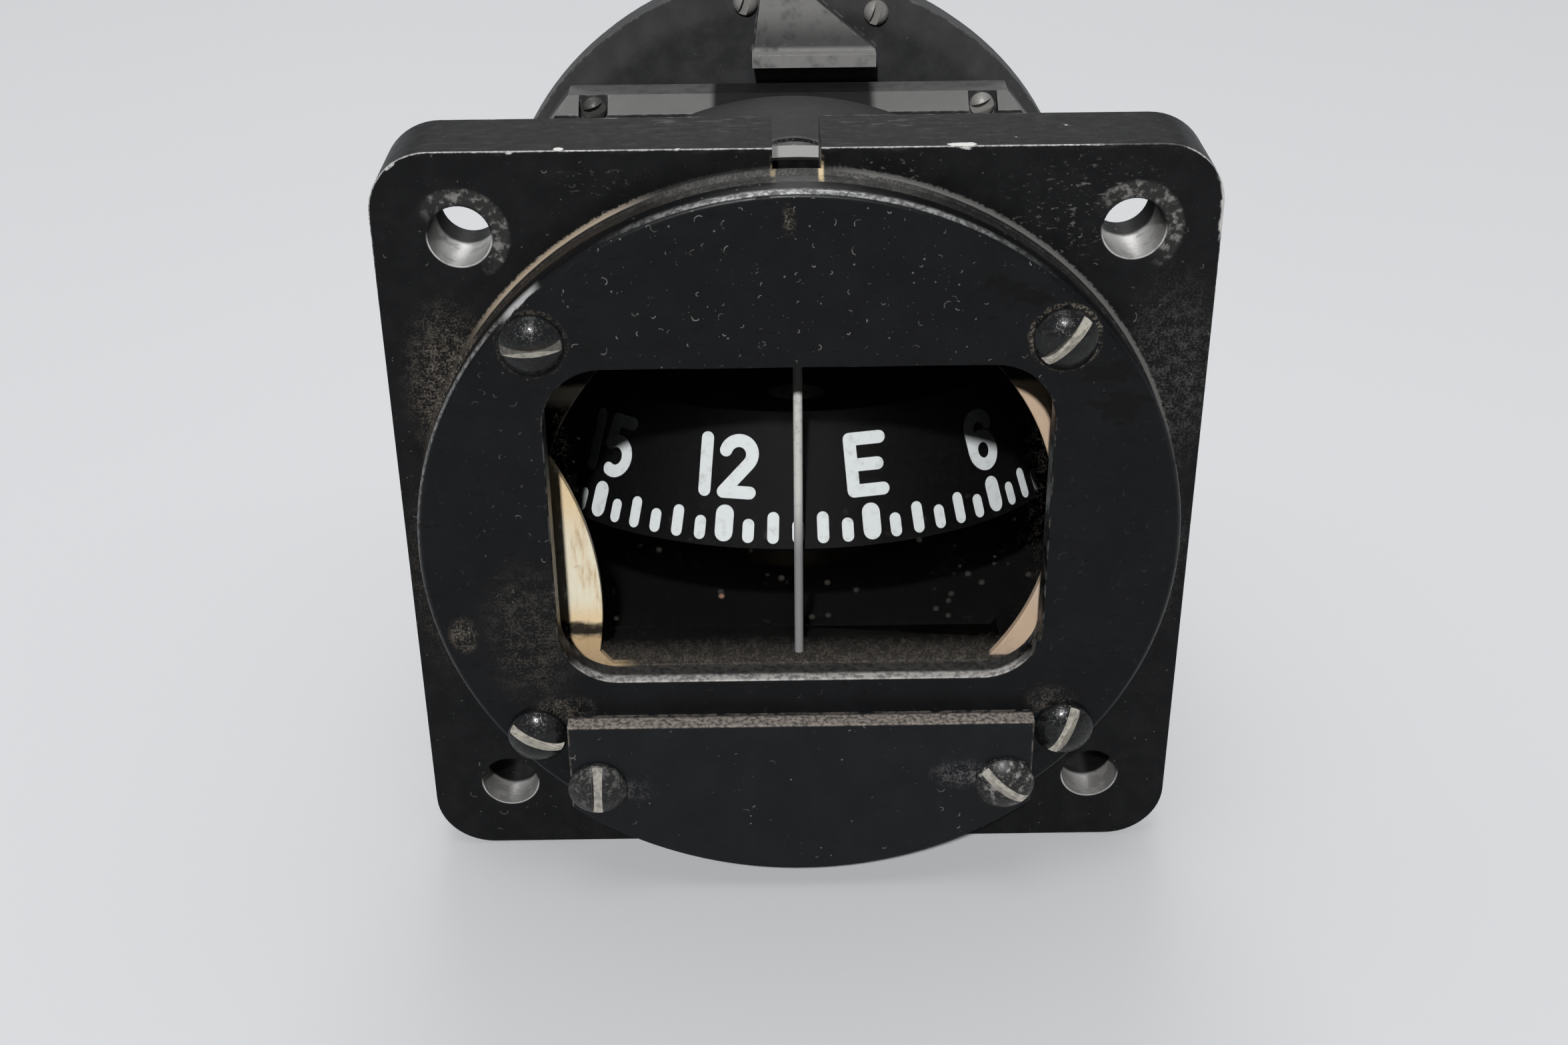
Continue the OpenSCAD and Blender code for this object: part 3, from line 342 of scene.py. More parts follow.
def bezelPaint(finish):
    mat, start, spot, x, y, z = newSkin("bezelPaint")
    crowd = 0.12 + 0.88 * fade(z, 8.0, 17.0) * fade(abs(x), 26.0, 16.0)  # most lint lies above the window
    colour, rough, height = wornPaint(spot, x, z, finish, most(crowd, patch(x, z, -20.0, 2.0, 6.0, 14.0) * 0.7))
    uneven = cloud(spot, 0.9, 5.0)
    radius = reach(x, z)
    front = fade(y, -3.4, -4.1)
    # window wall: bottom sill pale, partly dust and partly a painted highlight where light from above falls on it;
    # pale streaks on the side walls
    wallX = most(abs(x) - finish["windowX"], 0.0)
    wallZ = most(abs(z - finish["windowMid"]) - finish["windowZ"], 0.0)
    inWindow = fade(reach(wallX, wallZ) - finish["windowR"], 0.14, 0.04)
    sillDustAndLight = inWindow * fade(z, -8.9, -10.8) * atLeast(0.1, fade(y, -3.3, -3.8))
    sillDustAndLight = sillDustAndLight * atLeast(0.4, blotch(spot, 2.2, 4.0, 0.36, 0.6))
    side = inWindow * fade(abs(x), 16.0, 18.0) * fade(uneven, 0.46, 0.62) * 0.2
    colour = tint(most(sillDustAndLight * 0.9, side), colour, finish["sillDustAndLight"])
    # rim: bare metal along the top and on the left, part wear and part a painted highlight line along the top,
    # with one gouge at the upper left
    rim = fade(radius, finish["rimR"], finish["rimR"] + 0.08) * front
    along = most(fade(abs(x - 2.0), 17.0, 4.0) * fade(z, 10.0, 24.0),
                 fade(x, -18.0, -22.0) * fade(z, -4.0, 8.0) * 0.5)
    rubbed = rim * along * atLeast(0.3, blotch(spot, 2.6, 4.0, 0.42, 0.6))
    gouge = patch(x, z, -19.5, 20.6, 2.1, 2.3) * fade(radius + (uneven - 0.5) * 0.5, 28.0, 28.12) * front
    bare = most(rubbed * 0.6, gouge)
    # dust and grease marks, rings of dust round the upper screws and a line of it behind the rim
    heads = reach(abs(x) - finish["headX"], z - finish["headZ"]) - finish["headR"]
    heads = fade(abs(heads - (uneven - 0.5) * 0.5), 0.28, 0.08) * front * atLeast(0.35, fade(x, -4.0, 4.0))
    behind = fade(abs(y + 2.1), 0.3, 0.1)
    haze = most(patches(x, z, finish["haze"]), heads * 0.8, behind * 0.4) * dustGrain(spot)
    colour = tint(haze * 0.6, colour, finish["dust"])
    colour = tint(bare, colour, finish["metal"])
    # blacker touched-up spots at the upper right
    slanted = patch(x, z + (x - 15.1) * 0.42, 15.1, 21.05, 3.4, 1.0)
    touched = most(slanted, patches(x, z, finish["touched"])) - 0.25
    ragged = (cloud(spot, 1.3, 5.0, (0.6, 1.0, 1.5)) - 0.5) * 4.0
    touched = fade(touched + ragged, 0.1, 0.3) * fade(touched + ragged * 0.3, -0.2, 0.05) * front
    colour = tint(touched, colour, finish["fresh"])
    smear = blotch(spot, 0.14, 3.0, 0.52, 0.66, (1.0, 1.0, 2.2))
    rough = rough + haze * 0.4 + smear * 0.1 - bare * 0.06 + touched * 0.3
    return closeSkin(mat, start, {"Base Color": colour, "Roughness": rough, "Metallic": bare * 0.8,
                                  "Specular IOR Level": finish["gloss"],
                                  "Normal": bump(start, height + bare * 0.5, finish["relief"])})


# cover plate: plain front, dusty upper edge
coverFinish = {
    "dark": (0.0042, 0.0048, 0.006, 1), "light": (0.007, 0.0078, 0.0095, 1), "speck": (0.3, 0.295, 0.28, 1),
    "mottle": 0.32, "grains": 1.25, "grainShare": 0.08, "hairShare": 0.08,
    "rough": 0.4, "gloss": 0.2, "relief": 0.012,
    "grey": (0.24, 0.235, 0.235, 1), "edge": (0.3, 0.265, 0.235, 1), "topZ": -14.5, "sideX": 17.9,
    "haze": [(12.8, -19.2, 3.4, 1.7, 0.7), (-13.2, -20.4, 2.4, 1.4, 0.35)],
}


def coverPaint(finish):
    mat, start, spot, x, y, z = newSkin("coverPaint")
    colour, rough, height = wornPaint(spot, x, z, finish)
    uneven = cloud(spot, 0.9, 5.0)
    ledge = fade(z, finish["topZ"], finish["topZ"] + 0.12) * fade(y, -4.6, -5.0)
    ledge = ledge * atLeast(0.25, blotch(spot, 2.8, 4.0, 0.36, 0.62))
    sides = fade(abs(x), finish["sideX"], finish["sideX"] + 0.15) * fade(uneven, 0.42, 0.6) * 0.4
    foot = fade(y, -5.0, -4.5) * fade(uneven, 0.4, 0.6) * 0.3
    haze = patches(x, z, finish["haze"]) * dustGrain(spot)
    colour = tint(most(ledge, sides, foot), colour, finish["edge"])
    colour = tint(haze * 0.6, colour, finish["grey"])
    return closeSkin(mat, start, {"Base Color": colour, "Roughness": rough + most(ledge, haze) * 0.3,
                                  "Specular IOR Level": finish["gloss"],
                                  "Normal": bump(start, height, finish["relief"])})


# bowl, rear plate and rear housing: greyer, dusty on what faces up, dead black inside; painted shade on the barrel
# behind the flange and a painted pool of light under the slot
rearFinish = {
    "dark": (0.024, 0.0245, 0.0255, 1), "light": (0.038, 0.0385, 0.04, 1), "speck": (0.16, 0.155, 0.145, 1),
    "mottle": 0.4, "grains": 1.4, "grainShare": 0.1, "hairShare": 0.06,
    "rough": 0.46, "gloss": 0.12, "relief": 0.02, "barrel": (0.006, 0.0062, 0.0066, 1),
    "dust": (0.29, 0.287, 0.28, 1), "slotLightColour": (0.32, 0.317, 0.31, 1), "metal": (0.4, 0.39, 0.375, 1),
    "inside": (0.002, 0.002, 0.0021, 1),
    "axisY": 26.4, "bowlDrop": 1.5, "bowlR": 24.6,
}


def rearPaint(finish):
    mat, start, spot, x, y, z = newSkin("rearPaint")
    colour, rough, height = wornPaint(spot, x, z, finish)
    up = facing(start, "Z")
    level = fade(up, 0.6, 0.95)
    uneven = cloud(spot, 0.7, 5.0)
    radius = reach(x, z)
    frontRing = fade(y, 10.6, 10.2)
    # block behind the flange: painted shade on the barrel in front of it and between the block's two pale bars
    block = fade(y, 46.6, 47.0) * fade(y, 52.4, 52.1)
    shadedMiddle = block * fade(z, 19.8, 19.3) * fade(x, -7.4, -6.6) * fade(x, 8.4, 7.4)
    colour = tint(most(fade(y, 47.2, 46.6), shadedMiddle), colour, finish["barrel"])
    block = block * (1 - shadedMiddle)
    settled = level * (0.03 + frontRing * 0.3 + block * 0.3) * atLeast(0.6, fade(uneven, 0.3, 0.62))
    chamfer = block * fade(y, 49.3, 48.9) * fade(up, 0.35, 0.6) * 0.42  # sloped top edge of the block, rubbed grey
    ring = fade(radius, 24.6, 26.4) * fade(y, 50.0, 51.0) * 0.07  # paler rim of the rear plate
    lug = fade(y, 51.6, 51.0) * fade(y, 48.9, 49.3) * fade(z, 19.5, 20.2) * fade(uneven, 0.1, 0.55) * 0.75
    lug = lug * atLeast(0.25, most(fade(z, 22.4, 22.0), fade(z, 22.6, 26.5)))  # darker just above its foot
    worn = edges(start, 0.35) * blotch(spot, 1.1, 4.0, 0.46, 0.62) * (1 - shadedMiddle) * 0.45
    colour = tint(most(settled, chamfer, ring, lug), colour, finish["dust"])
    slotLightPool = frontRing * level * fade(abs(x), 4.5, 2.5)  # painted pool of light on the front ring, where light falls in through the slot in the flange
    colour = tint(slotLightPool * 0.9, colour, finish["slotLightColour"])
    colour = tint(worn, colour, finish["metal"])
    # from the bowl's axis, behind the card from its middle
    bowlR = reach(reach(x, z + finish["bowlDrop"]), most(y - finish["axisY"], 0.0))
    inside = fade(bowlR, finish["bowlR"], finish["bowlR"] - 0.3) * fade(y, 46.0, 44.0)
    colour = tint(inside, colour, finish["inside"])
    rough = rough + settled * 0.25 + inside * 0.3
    return closeSkin(mat, start, {"Base Color": colour, "Roughness": rough, "Metallic": worn * (1 - inside),
                                  "Specular IOR Level": finish["gloss"],
                                  "Normal": bump(start, height, finish["relief"])})


# screws: blackened heads with pale slots, and heads worn bright; deep is where the front slots have their floor
darkScrew = {"name": "darkScrew", "face": (0.007, 0.0073, 0.008, 1), "rubbed": (0.08, 0.078, 0.075, 1),
             "slot": (0.5, 0.475, 0.42, 1), "rough": 0.2, "metal": 0.1, "deep": -4.84, "dusty": 0.2, "gloss": 0.3}
wornScrew = {"name": "wornScrew", "face": (0.016, 0.0158, 0.0155, 1), "rubbed": (0.4, 0.39, 0.37, 1),
             "slot": (0.5, 0.48, 0.43, 1), "rough": 0.4, "metal": 0.2, "deep": -6.505, "dusty": 0.6, "gloss": 0.3}


def screwSkin(finish):
    mat, start, spot, x, y, z = newSkin(finish["name"])
    uneven = cloud(spot, 1.5, 5.0)
    out = facing(start, "Y")
    pitted = blotch(spot, 4.5, 3.0, 0.5, 0.68)
    right = fade(x, 4.0, 10.0)
    rearHeads = fade(y, 40.0, 45.0) * (0.12 + 0.45 * fade(x, -14.0, -10.0))  # brighter
    rubbed = most(fade(uneven, 0.54, 0.66) * finish["dusty"] * atLeast(0.35, right), pitted * 0.2, rearHeads)
    colour = tint(rubbed, finish["face"], finish["rubbed"])
    # pale on the slot walls that face up, and dust on the front slot floors, least in the upper left one
    wall = fade(y, finish["deep"] + 0.06, finish["deep"])
    wall = wall * fade(abs(out), 0.6, 0.3) * fade(out.twin("Z"), 0.1, 0.35)
    deep = fade(abs(y - finish["deep"]), 0.09, 0.03) * fade(out, -0.85, -0.95)
    bright = atLeast(0.25, most(right, fade(z, -12.0, -16.0))) * atLeast(0.55, blotch(spot, 3.0, 4.0, 0.36, 0.6))
    pale = most(wall * atLeast(0.5, fade(uneven, 0.3, 0.55)), deep * bright)
    colour = tint(pale, colour, finish["slot"])
    rough = finish["rough"] + (uneven - 0.5) * 0.3 + most(wall, deep) * 0.2
    return closeSkin(mat, start, {"Base Color": colour, "Roughness": rough,
                                  "Metallic": finish["metal"] * (1 - wall), "Specular IOR Level": finish["gloss"],
                                  "Normal": bump(start, uneven + pitted, 0.02)})


# plain metals inside: colour, tarnish, roughness and the scale of the tool marks
# blackened brass, kept this dark partly as painted shade inside the bowl
darkBrassSkin = {"name": "blackenedBrass", "colour": (0.045, 0.036, 0.022, 1), "tarnish": (0.02, 0.017, 0.013, 1),
                 "rough": 0.5, "marks": 1.4}
brassSkin = {"name": "dullBrass", "colour": (0.56, 0.4, 0.16, 1), "tarnish": (0.24, 0.15, 0.06, 1),
             "rough": 0.34, "marks": 1.4}
steelSkin = {"name": "pinSteel", "colour": (0.55, 0.56, 0.57, 1), "tarnish": (0.3, 0.29, 0.28, 1),
             "rough": 0.22, "marks": 2.5}
magnetSkin = {"name": "magnetSteel", "colour": (0.27, 0.28, 0.3, 1), "tarnish": (0.12, 0.1, 0.09, 1),
              "rough": 0.4, "marks": 1.0}
# dark tin for the float, darker than tin partly as painted shade inside the bowl
floatSkin = {"name": "floatTin", "colour": (0.1, 0.098, 0.092, 1), "tarnish": (0.045, 0.042, 0.037, 1),
             "rough": 0.5, "marks": 0.8}
copperSkin = {"name": "copperWasher", "colour": (0.62, 0.27, 0.13, 1), "tarnish": (0.2, 0.09, 0.05, 1),
              "rough": 0.4, "marks": 1.6}


def metalSkin(finish):
    mat, start, spot, *axes = newSkin(finish["name"])
    stain = blotch(spot, 0.6, 5.0, 0.42, 0.68)
    marks = cloud(spot, finish["marks"] * 3, 3.0, (1.0, 0.25, 2.0))
    colour = tint(stain * 0.7, finish["colour"], finish["tarnish"])
    rough = finish["rough"] + stain * 0.25 + (marks - 0.5) * 0.2
    return closeSkin(mat, start, {"Base Color": colour, "Roughness": rough, "Metallic": 1 - stain * 0.35,
                                  "Normal": bump(start, marks, 0.008)})


# gaskets and the cream seal that shows behind the glass
gasketSkin = {"name": "darkGasket", "colour": (0.003, 0.0029, 0.0028, 1), "worn": (0.007, 0.0068, 0.0065, 1),
              "rough": 0.8, "gloss": 0.08}
corkSkin = {"name": "brownGasket", "colour": (0.11, 0.068, 0.035, 1), "worn": (0.2, 0.14, 0.08, 1),
            "rough": 0.85, "gloss": 0.08}


def gasketMat(finish):
    mat, start, spot, *axes = newSkin(finish["name"])
    flecks = cloud(spot, 1.8, 6.0)
    colour = tint(fade(flecks, 0.38, 0.66), finish["colour"], finish["worn"])
    return closeSkin(mat, start, {"Base Color": colour, "Roughness": finish["rough"] + (flecks - 0.5) * 0.2,
                                  "Specular IOR Level": finish["gloss"], "Normal": bump(start, flecks, 0.04)})


sealSkin = {"cream": (0.96, 0.75, 0.47, 1), "pale": (1.0, 0.92, 0.73, 1), "tan": (0.58, 0.4, 0.22, 1),
            "rose": (0.6, 0.44, 0.33, 1), "stain": (0.22, 0.13, 0.06, 1), "gap": (0.004, 0.0045, 0.005, 1),
            "rough": 0.6, "gloss": 0.2}


def sealMat(finish):
    mat, start, spot, x, y, z = newSkin("creamSeal")
    streaks = cloud(spot, 0.85, 5.0, (1.7, 1.0, 0.3))
    spots = cloud(spot, 0.7, 4.0)
    left = fade(x, -12.0, -13.0)
    colour = tint(fade(streaks, 0.46, 0.7) * 0.8, finish["cream"], finish["tan"])
    colour = tint(fade(z, 2.5, -2.0) * fade(z, -8.6, -6.5) * fade(streaks, 0.74, 0.44), colour, finish["pale"])
    # paler at the upper left: a painted reflection
    colour = tint(fade(z, 9.5, 10.2) * fade(x, 0.0, -4.0), colour, finish["pale"])
    colour = tint(fade(spots, 0.62, 0.78) * 0.35, colour, finish["stain"])
    colour = tint(fade(x, 8.0, 12.0) * 0.85, colour, finish["rose"])
    colour = tint(fade(z, -9.9, -10.3) * left * 0.9, colour, finish["tan"])
    # broken low on the left; painted shade on the upper left flank and along the top
    ragged = spots - 0.5
    smear = (cloud(spot, 1.2, 4.0, (0.4, 1.0, 1.0)) - 0.5) * 1.6
    broken = fade(abs(z + 9.6 + smear + (x + 16.0) * 0.12), 1.0, 0.3) * left
    shadedFlank = fade(z, 5.2, 6.2) * fade(z + ragged, 10.8, 9.9) * left
    shaded = fade(z + ragged * 0.3, 11.5, 12.0)
    colour = tint(most(broken, shadedFlank, shaded) * 0.97, colour, finish["gap"])
    # painted shade along the bottom edge, except at the far left
    colour = tint(fade(z, -12.2, -12.5) * fade(x, -15.5, -12.5), colour, finish["gap"])
    depth = start.add("ShaderNodeLightPath", None, None, "Diffuse Depth")
    colour = tint(fade(depth, 0.4, 0.6), colour, finish["gap"])  # throws little light onto the dial
    return closeSkin(mat, start, {"Base Color": colour, "Roughness": finish["rough"] + (streaks - 0.5) * 0.3,
                                  "Specular IOR Level": finish["gloss"],
                                  "Normal": bump(start, streaks + spots, 0.05)})


# dial: matt black card with white enamel marks, and the fixed line in front of it
cardSkin = {"black": (0.0022, 0.0022, 0.0024, 1), "grey": (0.005, 0.005, 0.0052, 1), "rough": 0.62, "gloss": 0.08}
markSkin = {"name": "whiteEnamel", "white": (0.79, 0.83, 0.85, 1), "aged": (0.62, 0.64, 0.64, 1),
            "rough": 0.5, "gloss": 0.06}
lineSkin = {"name": "paleLine", "white": (0.74, 0.74, 0.72, 1), "aged": (0.5, 0.5, 0.49, 1),
            "lower": (0.3, 0.3, 0.31, 1), "rough": 0.42, "gloss": 0.06}


def cardMat(finish):
    mat, start, spot, *axes = newSkin("cardBlack")
    grain = cloud(spot, 3.0, 4.0)
    colour = tint(fade(grain, 0.4, 0.7), finish["black"], finish["grey"])
    return closeSkin(mat, start, {"Base Color": colour, "Roughness": finish["rough"] + (grain - 0.5) * 0.2,
                                  "Specular IOR Level": finish["gloss"], "Normal": bump(start, grain, 0.01)})


def enamelMat(finish):
    mat, start, spot, x, y, z = newSkin(finish["name"])
    grain = cloud(spot, 1.6, 5.0)
    colour = tint(fade(grain, 0.5, 0.75), finish["white"], finish["aged"])
    if "lower" in finish:
        colour = tint(fade(z, 2.5, -4.0), colour, finish["lower"])
    return closeSkin(mat, start, {"Base Color": colour, "Roughness": finish["rough"] + (grain - 0.5) * 0.2,
                                  "Specular IOR Level": finish["gloss"], "Normal": bump(start, grain, 0.008)})


jewelSkin = {"deep": (0.5, 0.03, 0.08, 1), "pale": (0.62, 0.08, 0.15, 1), "bend": 1.77, "clear": 0.5}


def jewelMat(finish):
    mat, start, spot, *axes = newSkin("rubyJewel")
    veil = cloud(spot, 2.0, 3.0)
    colour = tint(fade(veil, 0.4, 0.7), finish["deep"], finish["pale"])
    return closeSkin(mat, start, {"Base Color": colour, "Roughness": 0.08 + veil * 0.06, "IOR": finish["bend"],
                                  "Transmission Weight": finish["clear"]})


# window glass: dust low down, a few specks and one copper-coloured grain; the liquid behind it bends the view
glassSkin = {"dust": (0.27, 0.24, 0.205, 1), "clean": (0.0, 0.0, 0.0, 1), "grain": (0.6, 0.25, 0.13, 1),
             "clear": (0.985, 0.985, 0.98, 1), "wet": (0.99, 0.99, 0.99, 1), "shine": 1.2, "liquid": 1.3,
             "frontY": -1.4, "rearY": 0.45}


def glassMat(finish):
    mat, start, spot, x, y, z = newSkin("windowGlass")
    front = fade(y, finish["frontY"] + 0.2, finish["frontY"])
    rear = fade(y, finish["rearY"] - 0.15, finish["rearY"])
    fine = dustGrain(spot)
    grain = patch(x, z, -6.0, -5.3, 0.32, 0.32) * 0.6
    film = most(fade(z, -8.4, -12.4) * atLeast(0.35, fine) * 0.42,
                fade(abs(x), 15.5, 18.5) * fine * 0.06,
                patch(x, z, -17.0, 8.0, 3.0, 5.0) * dots(spot, 1.8, 0.25, 0.4) * 0.08,
                blotch(spot, 1.7, 4.0, 0.58, 0.76) * fade(z, 4.0, -7.0) * 0.05,
                dots(spot, 0.85, 0.28, 0.3) * fade(z, 9.0, -6.0) * 0.12,
                patch(x, z, 14.0, -2.5, 4.0, 3.0) * dots(spot, 1.6, 0.3, 0.5) * 0.12,
                grain) * front
    colour = tint(fade(film, 0.0, 0.06), finish["clean"], finish["dust"])
    colour = tint(grain, colour, finish["grain"])
    gloss = start.add("ShaderNodeFresnel", None, {"IOR": finish["shine"]})
    skin = start.add("ShaderNodeBsdfPrincipled", None, {"Base Color": colour, "Roughness": 0.05 + film * 2.0,
                                                        "Specular IOR Level": 0.5})
    clear = start.add("ShaderNodeBsdfTransparent", None, {"Color": finish["clear"]})
    bend = start.add("ShaderNodeBsdfRefraction", None, {"Color": finish["wet"], "Roughness": 0.0,
                                                        "IOR": 1 / finish["liquid"]})
    rays = start.add("ShaderNodeLightPath", None, None, "Is Shadow Ray")
    rays = most(rays, fade(rays.twin("Diffuse Depth"), 0.4, 0.6))  # light goes straight in and out
    outer = start.add("ShaderNodeMixShader", None, {0: most(film, gloss), 1: clear, 2: skin})
    inner = start.add("ShaderNodeMixShader", None, {0: rays, 1: bend, 2: clear})
    surface = start.add("ShaderNodeMixShader", None, {0: rear, 1: outer, 2: inner})
    start.add("ShaderNodeOutputMaterial", None, {"Surface": surface})
    return mat


skins = {
    "flange": flangePaint(flangeFinish), "bezel": bezelPaint(bezelFinish), "cover": coverPaint(coverFinish),
    "rear": rearPaint(rearFinish), "darkScrew": screwSkin(darkScrew), "wornScrew": screwSkin(wornScrew),
    "brass": metalSkin(brassSkin), "darkBrass": metalSkin(darkBrassSkin), "steel": metalSkin(steelSkin),
    "magnet": metalSkin(magnetSkin), "float": metalSkin(floatSkin), "copper": metalSkin(copperSkin),
    "gasket": gasketMat(gasketSkin), "cork": gasketMat(corkSkin), "seal": sealMat(sealSkin),
    "card": cardMat(cardSkin), "marks": enamelMat(markSkin), "line": enamelMat(lineSkin),
    "jewel": jewelMat(jewelSkin), "glass": glassMat(glassSkin),
}
print("materials:", len(skins))


def addPiece(name, bm, skin):
    mesh = bpy.data.meshes.new(name)
    bm.to_mesh(mesh)
    bm.free()
    mesh.materials.append(skins[skin])
    piece = bpy.data.objects.new(name, mesh)
    bpy.context.scene.collection.objects.link(piece)
    return piece


# outer pieces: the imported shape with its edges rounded, in millimetres
roundedEdges = {
    "front_casting": ("flangeCasting", 0.22, "flange"), "bezel": ("bezelRing", 0.16, "bezel"),
    "corrector_cover": ("coverPlate", 0.2, "cover"), "bowl": ("bowlCasting", 0.25, "rear"),
    "rear_plate": ("rearDisc", 0.22, "rear"), "rear_housing": ("rearCan", 0.3, "rear"),
    "bezel_screws": ("bezelScrews", 0.09, "darkScrew"), "cover_screws": ("coverScrews", 0.09, "wornScrew"),
    "glass_seal": ("creamSealRing", 0.12, "seal"),
}
rounding = {"merge": 0.002, "flat": 0.5, "sharp": 32, "crease": 50, "steps": 3}  # millimetres and degrees
liquidRoom = {"radius": 21.4, "front": 1.6, "rear": 12.0}


def inLiquid(co):  # within the tunnel or the bowl's mouth, where edges stay sharp
    across = math.hypot(co.x, co.z)
    return across < liquidRoom["radius"] * mm and liquidRoom["front"] * mm < co.y < liquidRoom["rear"] * mm


def roundCopy(node, name, edge, skin):
    bm = bmesh.new()
    bm.from_mesh(nodes[node].data)
    bmesh.ops.remove_doubles(bm, verts=bm.verts, dist=rounding["merge"] * mm)
    bmesh.ops.dissolve_limit(bm, angle_limit=math.radians(rounding["flat"]), verts=bm.verts, edges=bm.edges)
    limit = math.radians(rounding["sharp"])
    sharp = [e for e in bm.edges if len(e.link_faces) == 2 and e.calc_face_angle() > limit
             and not inLiquid(e.verts[0].co)]
    bmesh.ops.bevel(bm, geom=sharp, offset=edge * mm, offset_type="OFFSET", segments=rounding["steps"],
                    profile=0.5, affect="EDGES", clamp_overlap=True, material=-1)
    for face in bm.faces:
        face.smooth = True
    piece = addPiece(name, bm, skin)
    piece.data.set_sharp_from_angle(angle=math.radians(rounding["crease"]))
    even = piece.modifiers.new("evenShading", "WEIGHTED_NORMAL")
    even.keep_sharp = True
    body = nodes[node]["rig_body"]
    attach(piece, body)
    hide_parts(node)
    return piece


for node, (name, edge, skin) in roundedEdges.items():
    roundCopy(node, name, edge, skin)
print("rounded copies:", len(roundedEdges))


# nodes that stay as packed and get a finish
nodeSkins = {
    "window_glass": "glass", "bezel_gasket": "gasket", "lubber_line": "line", "bowl_gasket": "gasket",
    "bowl_screws": "darkScrew", "filler_plug": "wornScrew", "filler_washer": "copper", "rear_gasket": "cork",
    "rear_plate_screws": "wornScrew", "diaphragm": "brass", "rim_screws": "wornScrew", "card": "card",
    "float_shell": "float", "float_lid": "float", "magnet_saddle": "darkBrass", "card_magnets": "magnet",
    "pivot_pin": "steel", "post_housing": "darkBrass", "post_screws": "darkBrass", "post_cap": "darkBrass",
    "jewel_stem": "brass", "jewel": "jewel", "corrector_frame": "brass", "corrector_screws": "brass",
    "ns_adjuster": "brass", "ns_adjuster_magnet": "magnet", "ns_follower": "brass", "ns_follower_magnet": "magnet",
    "ew_adjuster": "brass", "ew_cross_shaft": "brass", "ew_cross_magnet": "magnet", "ew_follower": "brass",
    "ew_follower_magnet": "magnet",
}
for node, skin in nodeSkins.items():
    nodes[node].data.materials.clear()
    nodes[node].data.materials.append(skins[skin])
print("finished nodes:", len(nodeSkins))


# spring under the stem: a smooth-shaded copy on the spring's body; prints the share of its length it would keep at
# the stem's lowest
stemSpring = {"node": "post_spring", "joint": "stem_slide", "skin": "steel"}


def springCopy(finish):
    low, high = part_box(finish["node"])
    slide = next(j for j in frame["record"]["behaviour"]["joints"] if j["name"] == finish["joint"])
    bm = bmesh.new()
    bm.from_mesh(nodes[finish["node"]].data)
    for face in bm.faces:
        face.smooth = True
    piece = addPiece("stemSpring", bm, finish["skin"])
    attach(piece, nodes[finish["node"]]["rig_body"])
    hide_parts(finish["node"])
    keep = 1 + slide["range_m"][0] / (high.z - low.z)
    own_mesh(piece)
    print("spring keeps", round(keep, 3), "of its length")


springCopy(stemSpring)


# dial: figures drawn with a round-ended pen, ticks every five degrees
dial = {
    "axisY": 26.4, "lowR": 23.0, "lowZ": -3.6, "lean": 20.0, "atLine": 105.0, "thick": 0.09, "proud": 0.035,
    "layer": 0.006, "merge": 0.0005, "endSteps": 8, "arcStep": 12, "fewest": 4,
    "figureZ": 0.2, "pen": 1.0, "gap": 0.55,
    "tickZ": -3.2, "fiveTop": -1.3, "tenTop": -0.7, "thirtyTop": -0.3, "tickPen": 0.92, "thirtyPen": 1.45,
}
figures = {  # width, then strokes: x, z, heading, moves (line length, or arc radius and degrees, left positive)
    "1": (1.0, [(0.5, 0.5, 90, [(4.0,)])]),
    "2": (3.1, [(0.5, 3.7, 75, [(1.075, -205), (2.92,)]), (0.5, 0.5, 0, [(2.1,)])]),
    "3": (3.0, [(0.62, 4.0, 60, [(0.98, -240)]), (1.4, 2.55, 0, [(1.03, -240)])]),
    "4": (3.2, [(2.1, 4.5, 241, [(3.3,)]), (0.5, 1.6, 0, [(2.2,)]), (2.1, 4.5, 270, [(4.0,)])]),
    "5": (3.1, [(2.45, 4.5, 180, [(1.65,)]), (0.8, 4.5, 264, [(1.9,)]), (0.62, 2.6, 42, [(1.2, -246)])]),
    "6": (3.2, [(0.5, 1.65, 90, [(1.6,), (1.15, -160)]), (0.5, 1.65, 90, [(1.12, -180), (1.12, -180)])]),
    "0": (3.1, [(0.5, 1.6, 90, [(1.8,), (1.05, -180), (1.8,), (1.05, -180)])]),
    "N": (3.4, [(0.5, 0.5, 90, [(4.0,)]), (0.5, 4.5, 301, [(4.67,)]), (2.9, 0.5, 90, [(4.0,)])]),
    "E": (3.4, [(0.5, 0.5, 90, [(4.0,)]), (0.5, 4.5, 0, [(2.4,)]), (0.5, 2.5, 0, [(2.1,)]),
                (0.5, 0.5, 0, [(2.4,)])]),
    "S": (3.1, [(2.5, 3.9, 118, [(1.02, 242)]), (1.55, 2.5, 0, [(1.0, -242)])]),
    "W": (4.6, [(0.5, 4.5, 283, [(4.1,)]), (1.42, 0.5, 76, [(4.0,)]), (2.38, 4.4, 284, [(4.0,)]),
                (3.34, 0.5, 77, [(4.1,)])]),
}
letters = {0: "N", 90: "E", 180: "S", 270: "W"}
headings = {h % 360: letters.get(h % 360, str(h // 10)) for h in range(30, 390, 30)}


def penEnd(bm, shadedMiddle, rim):  # half disc that closes a stroke
    pair = [bm.verts.new(shadedMiddle), bm.verts.new(rim)]
    bar = bm.edges.new(pair)
    bmesh.ops.spin(bm, geom=pair + [bar], cent=shadedMiddle, axis=(0, 0, 1), angle=math.pi, steps=dial["endSteps"])


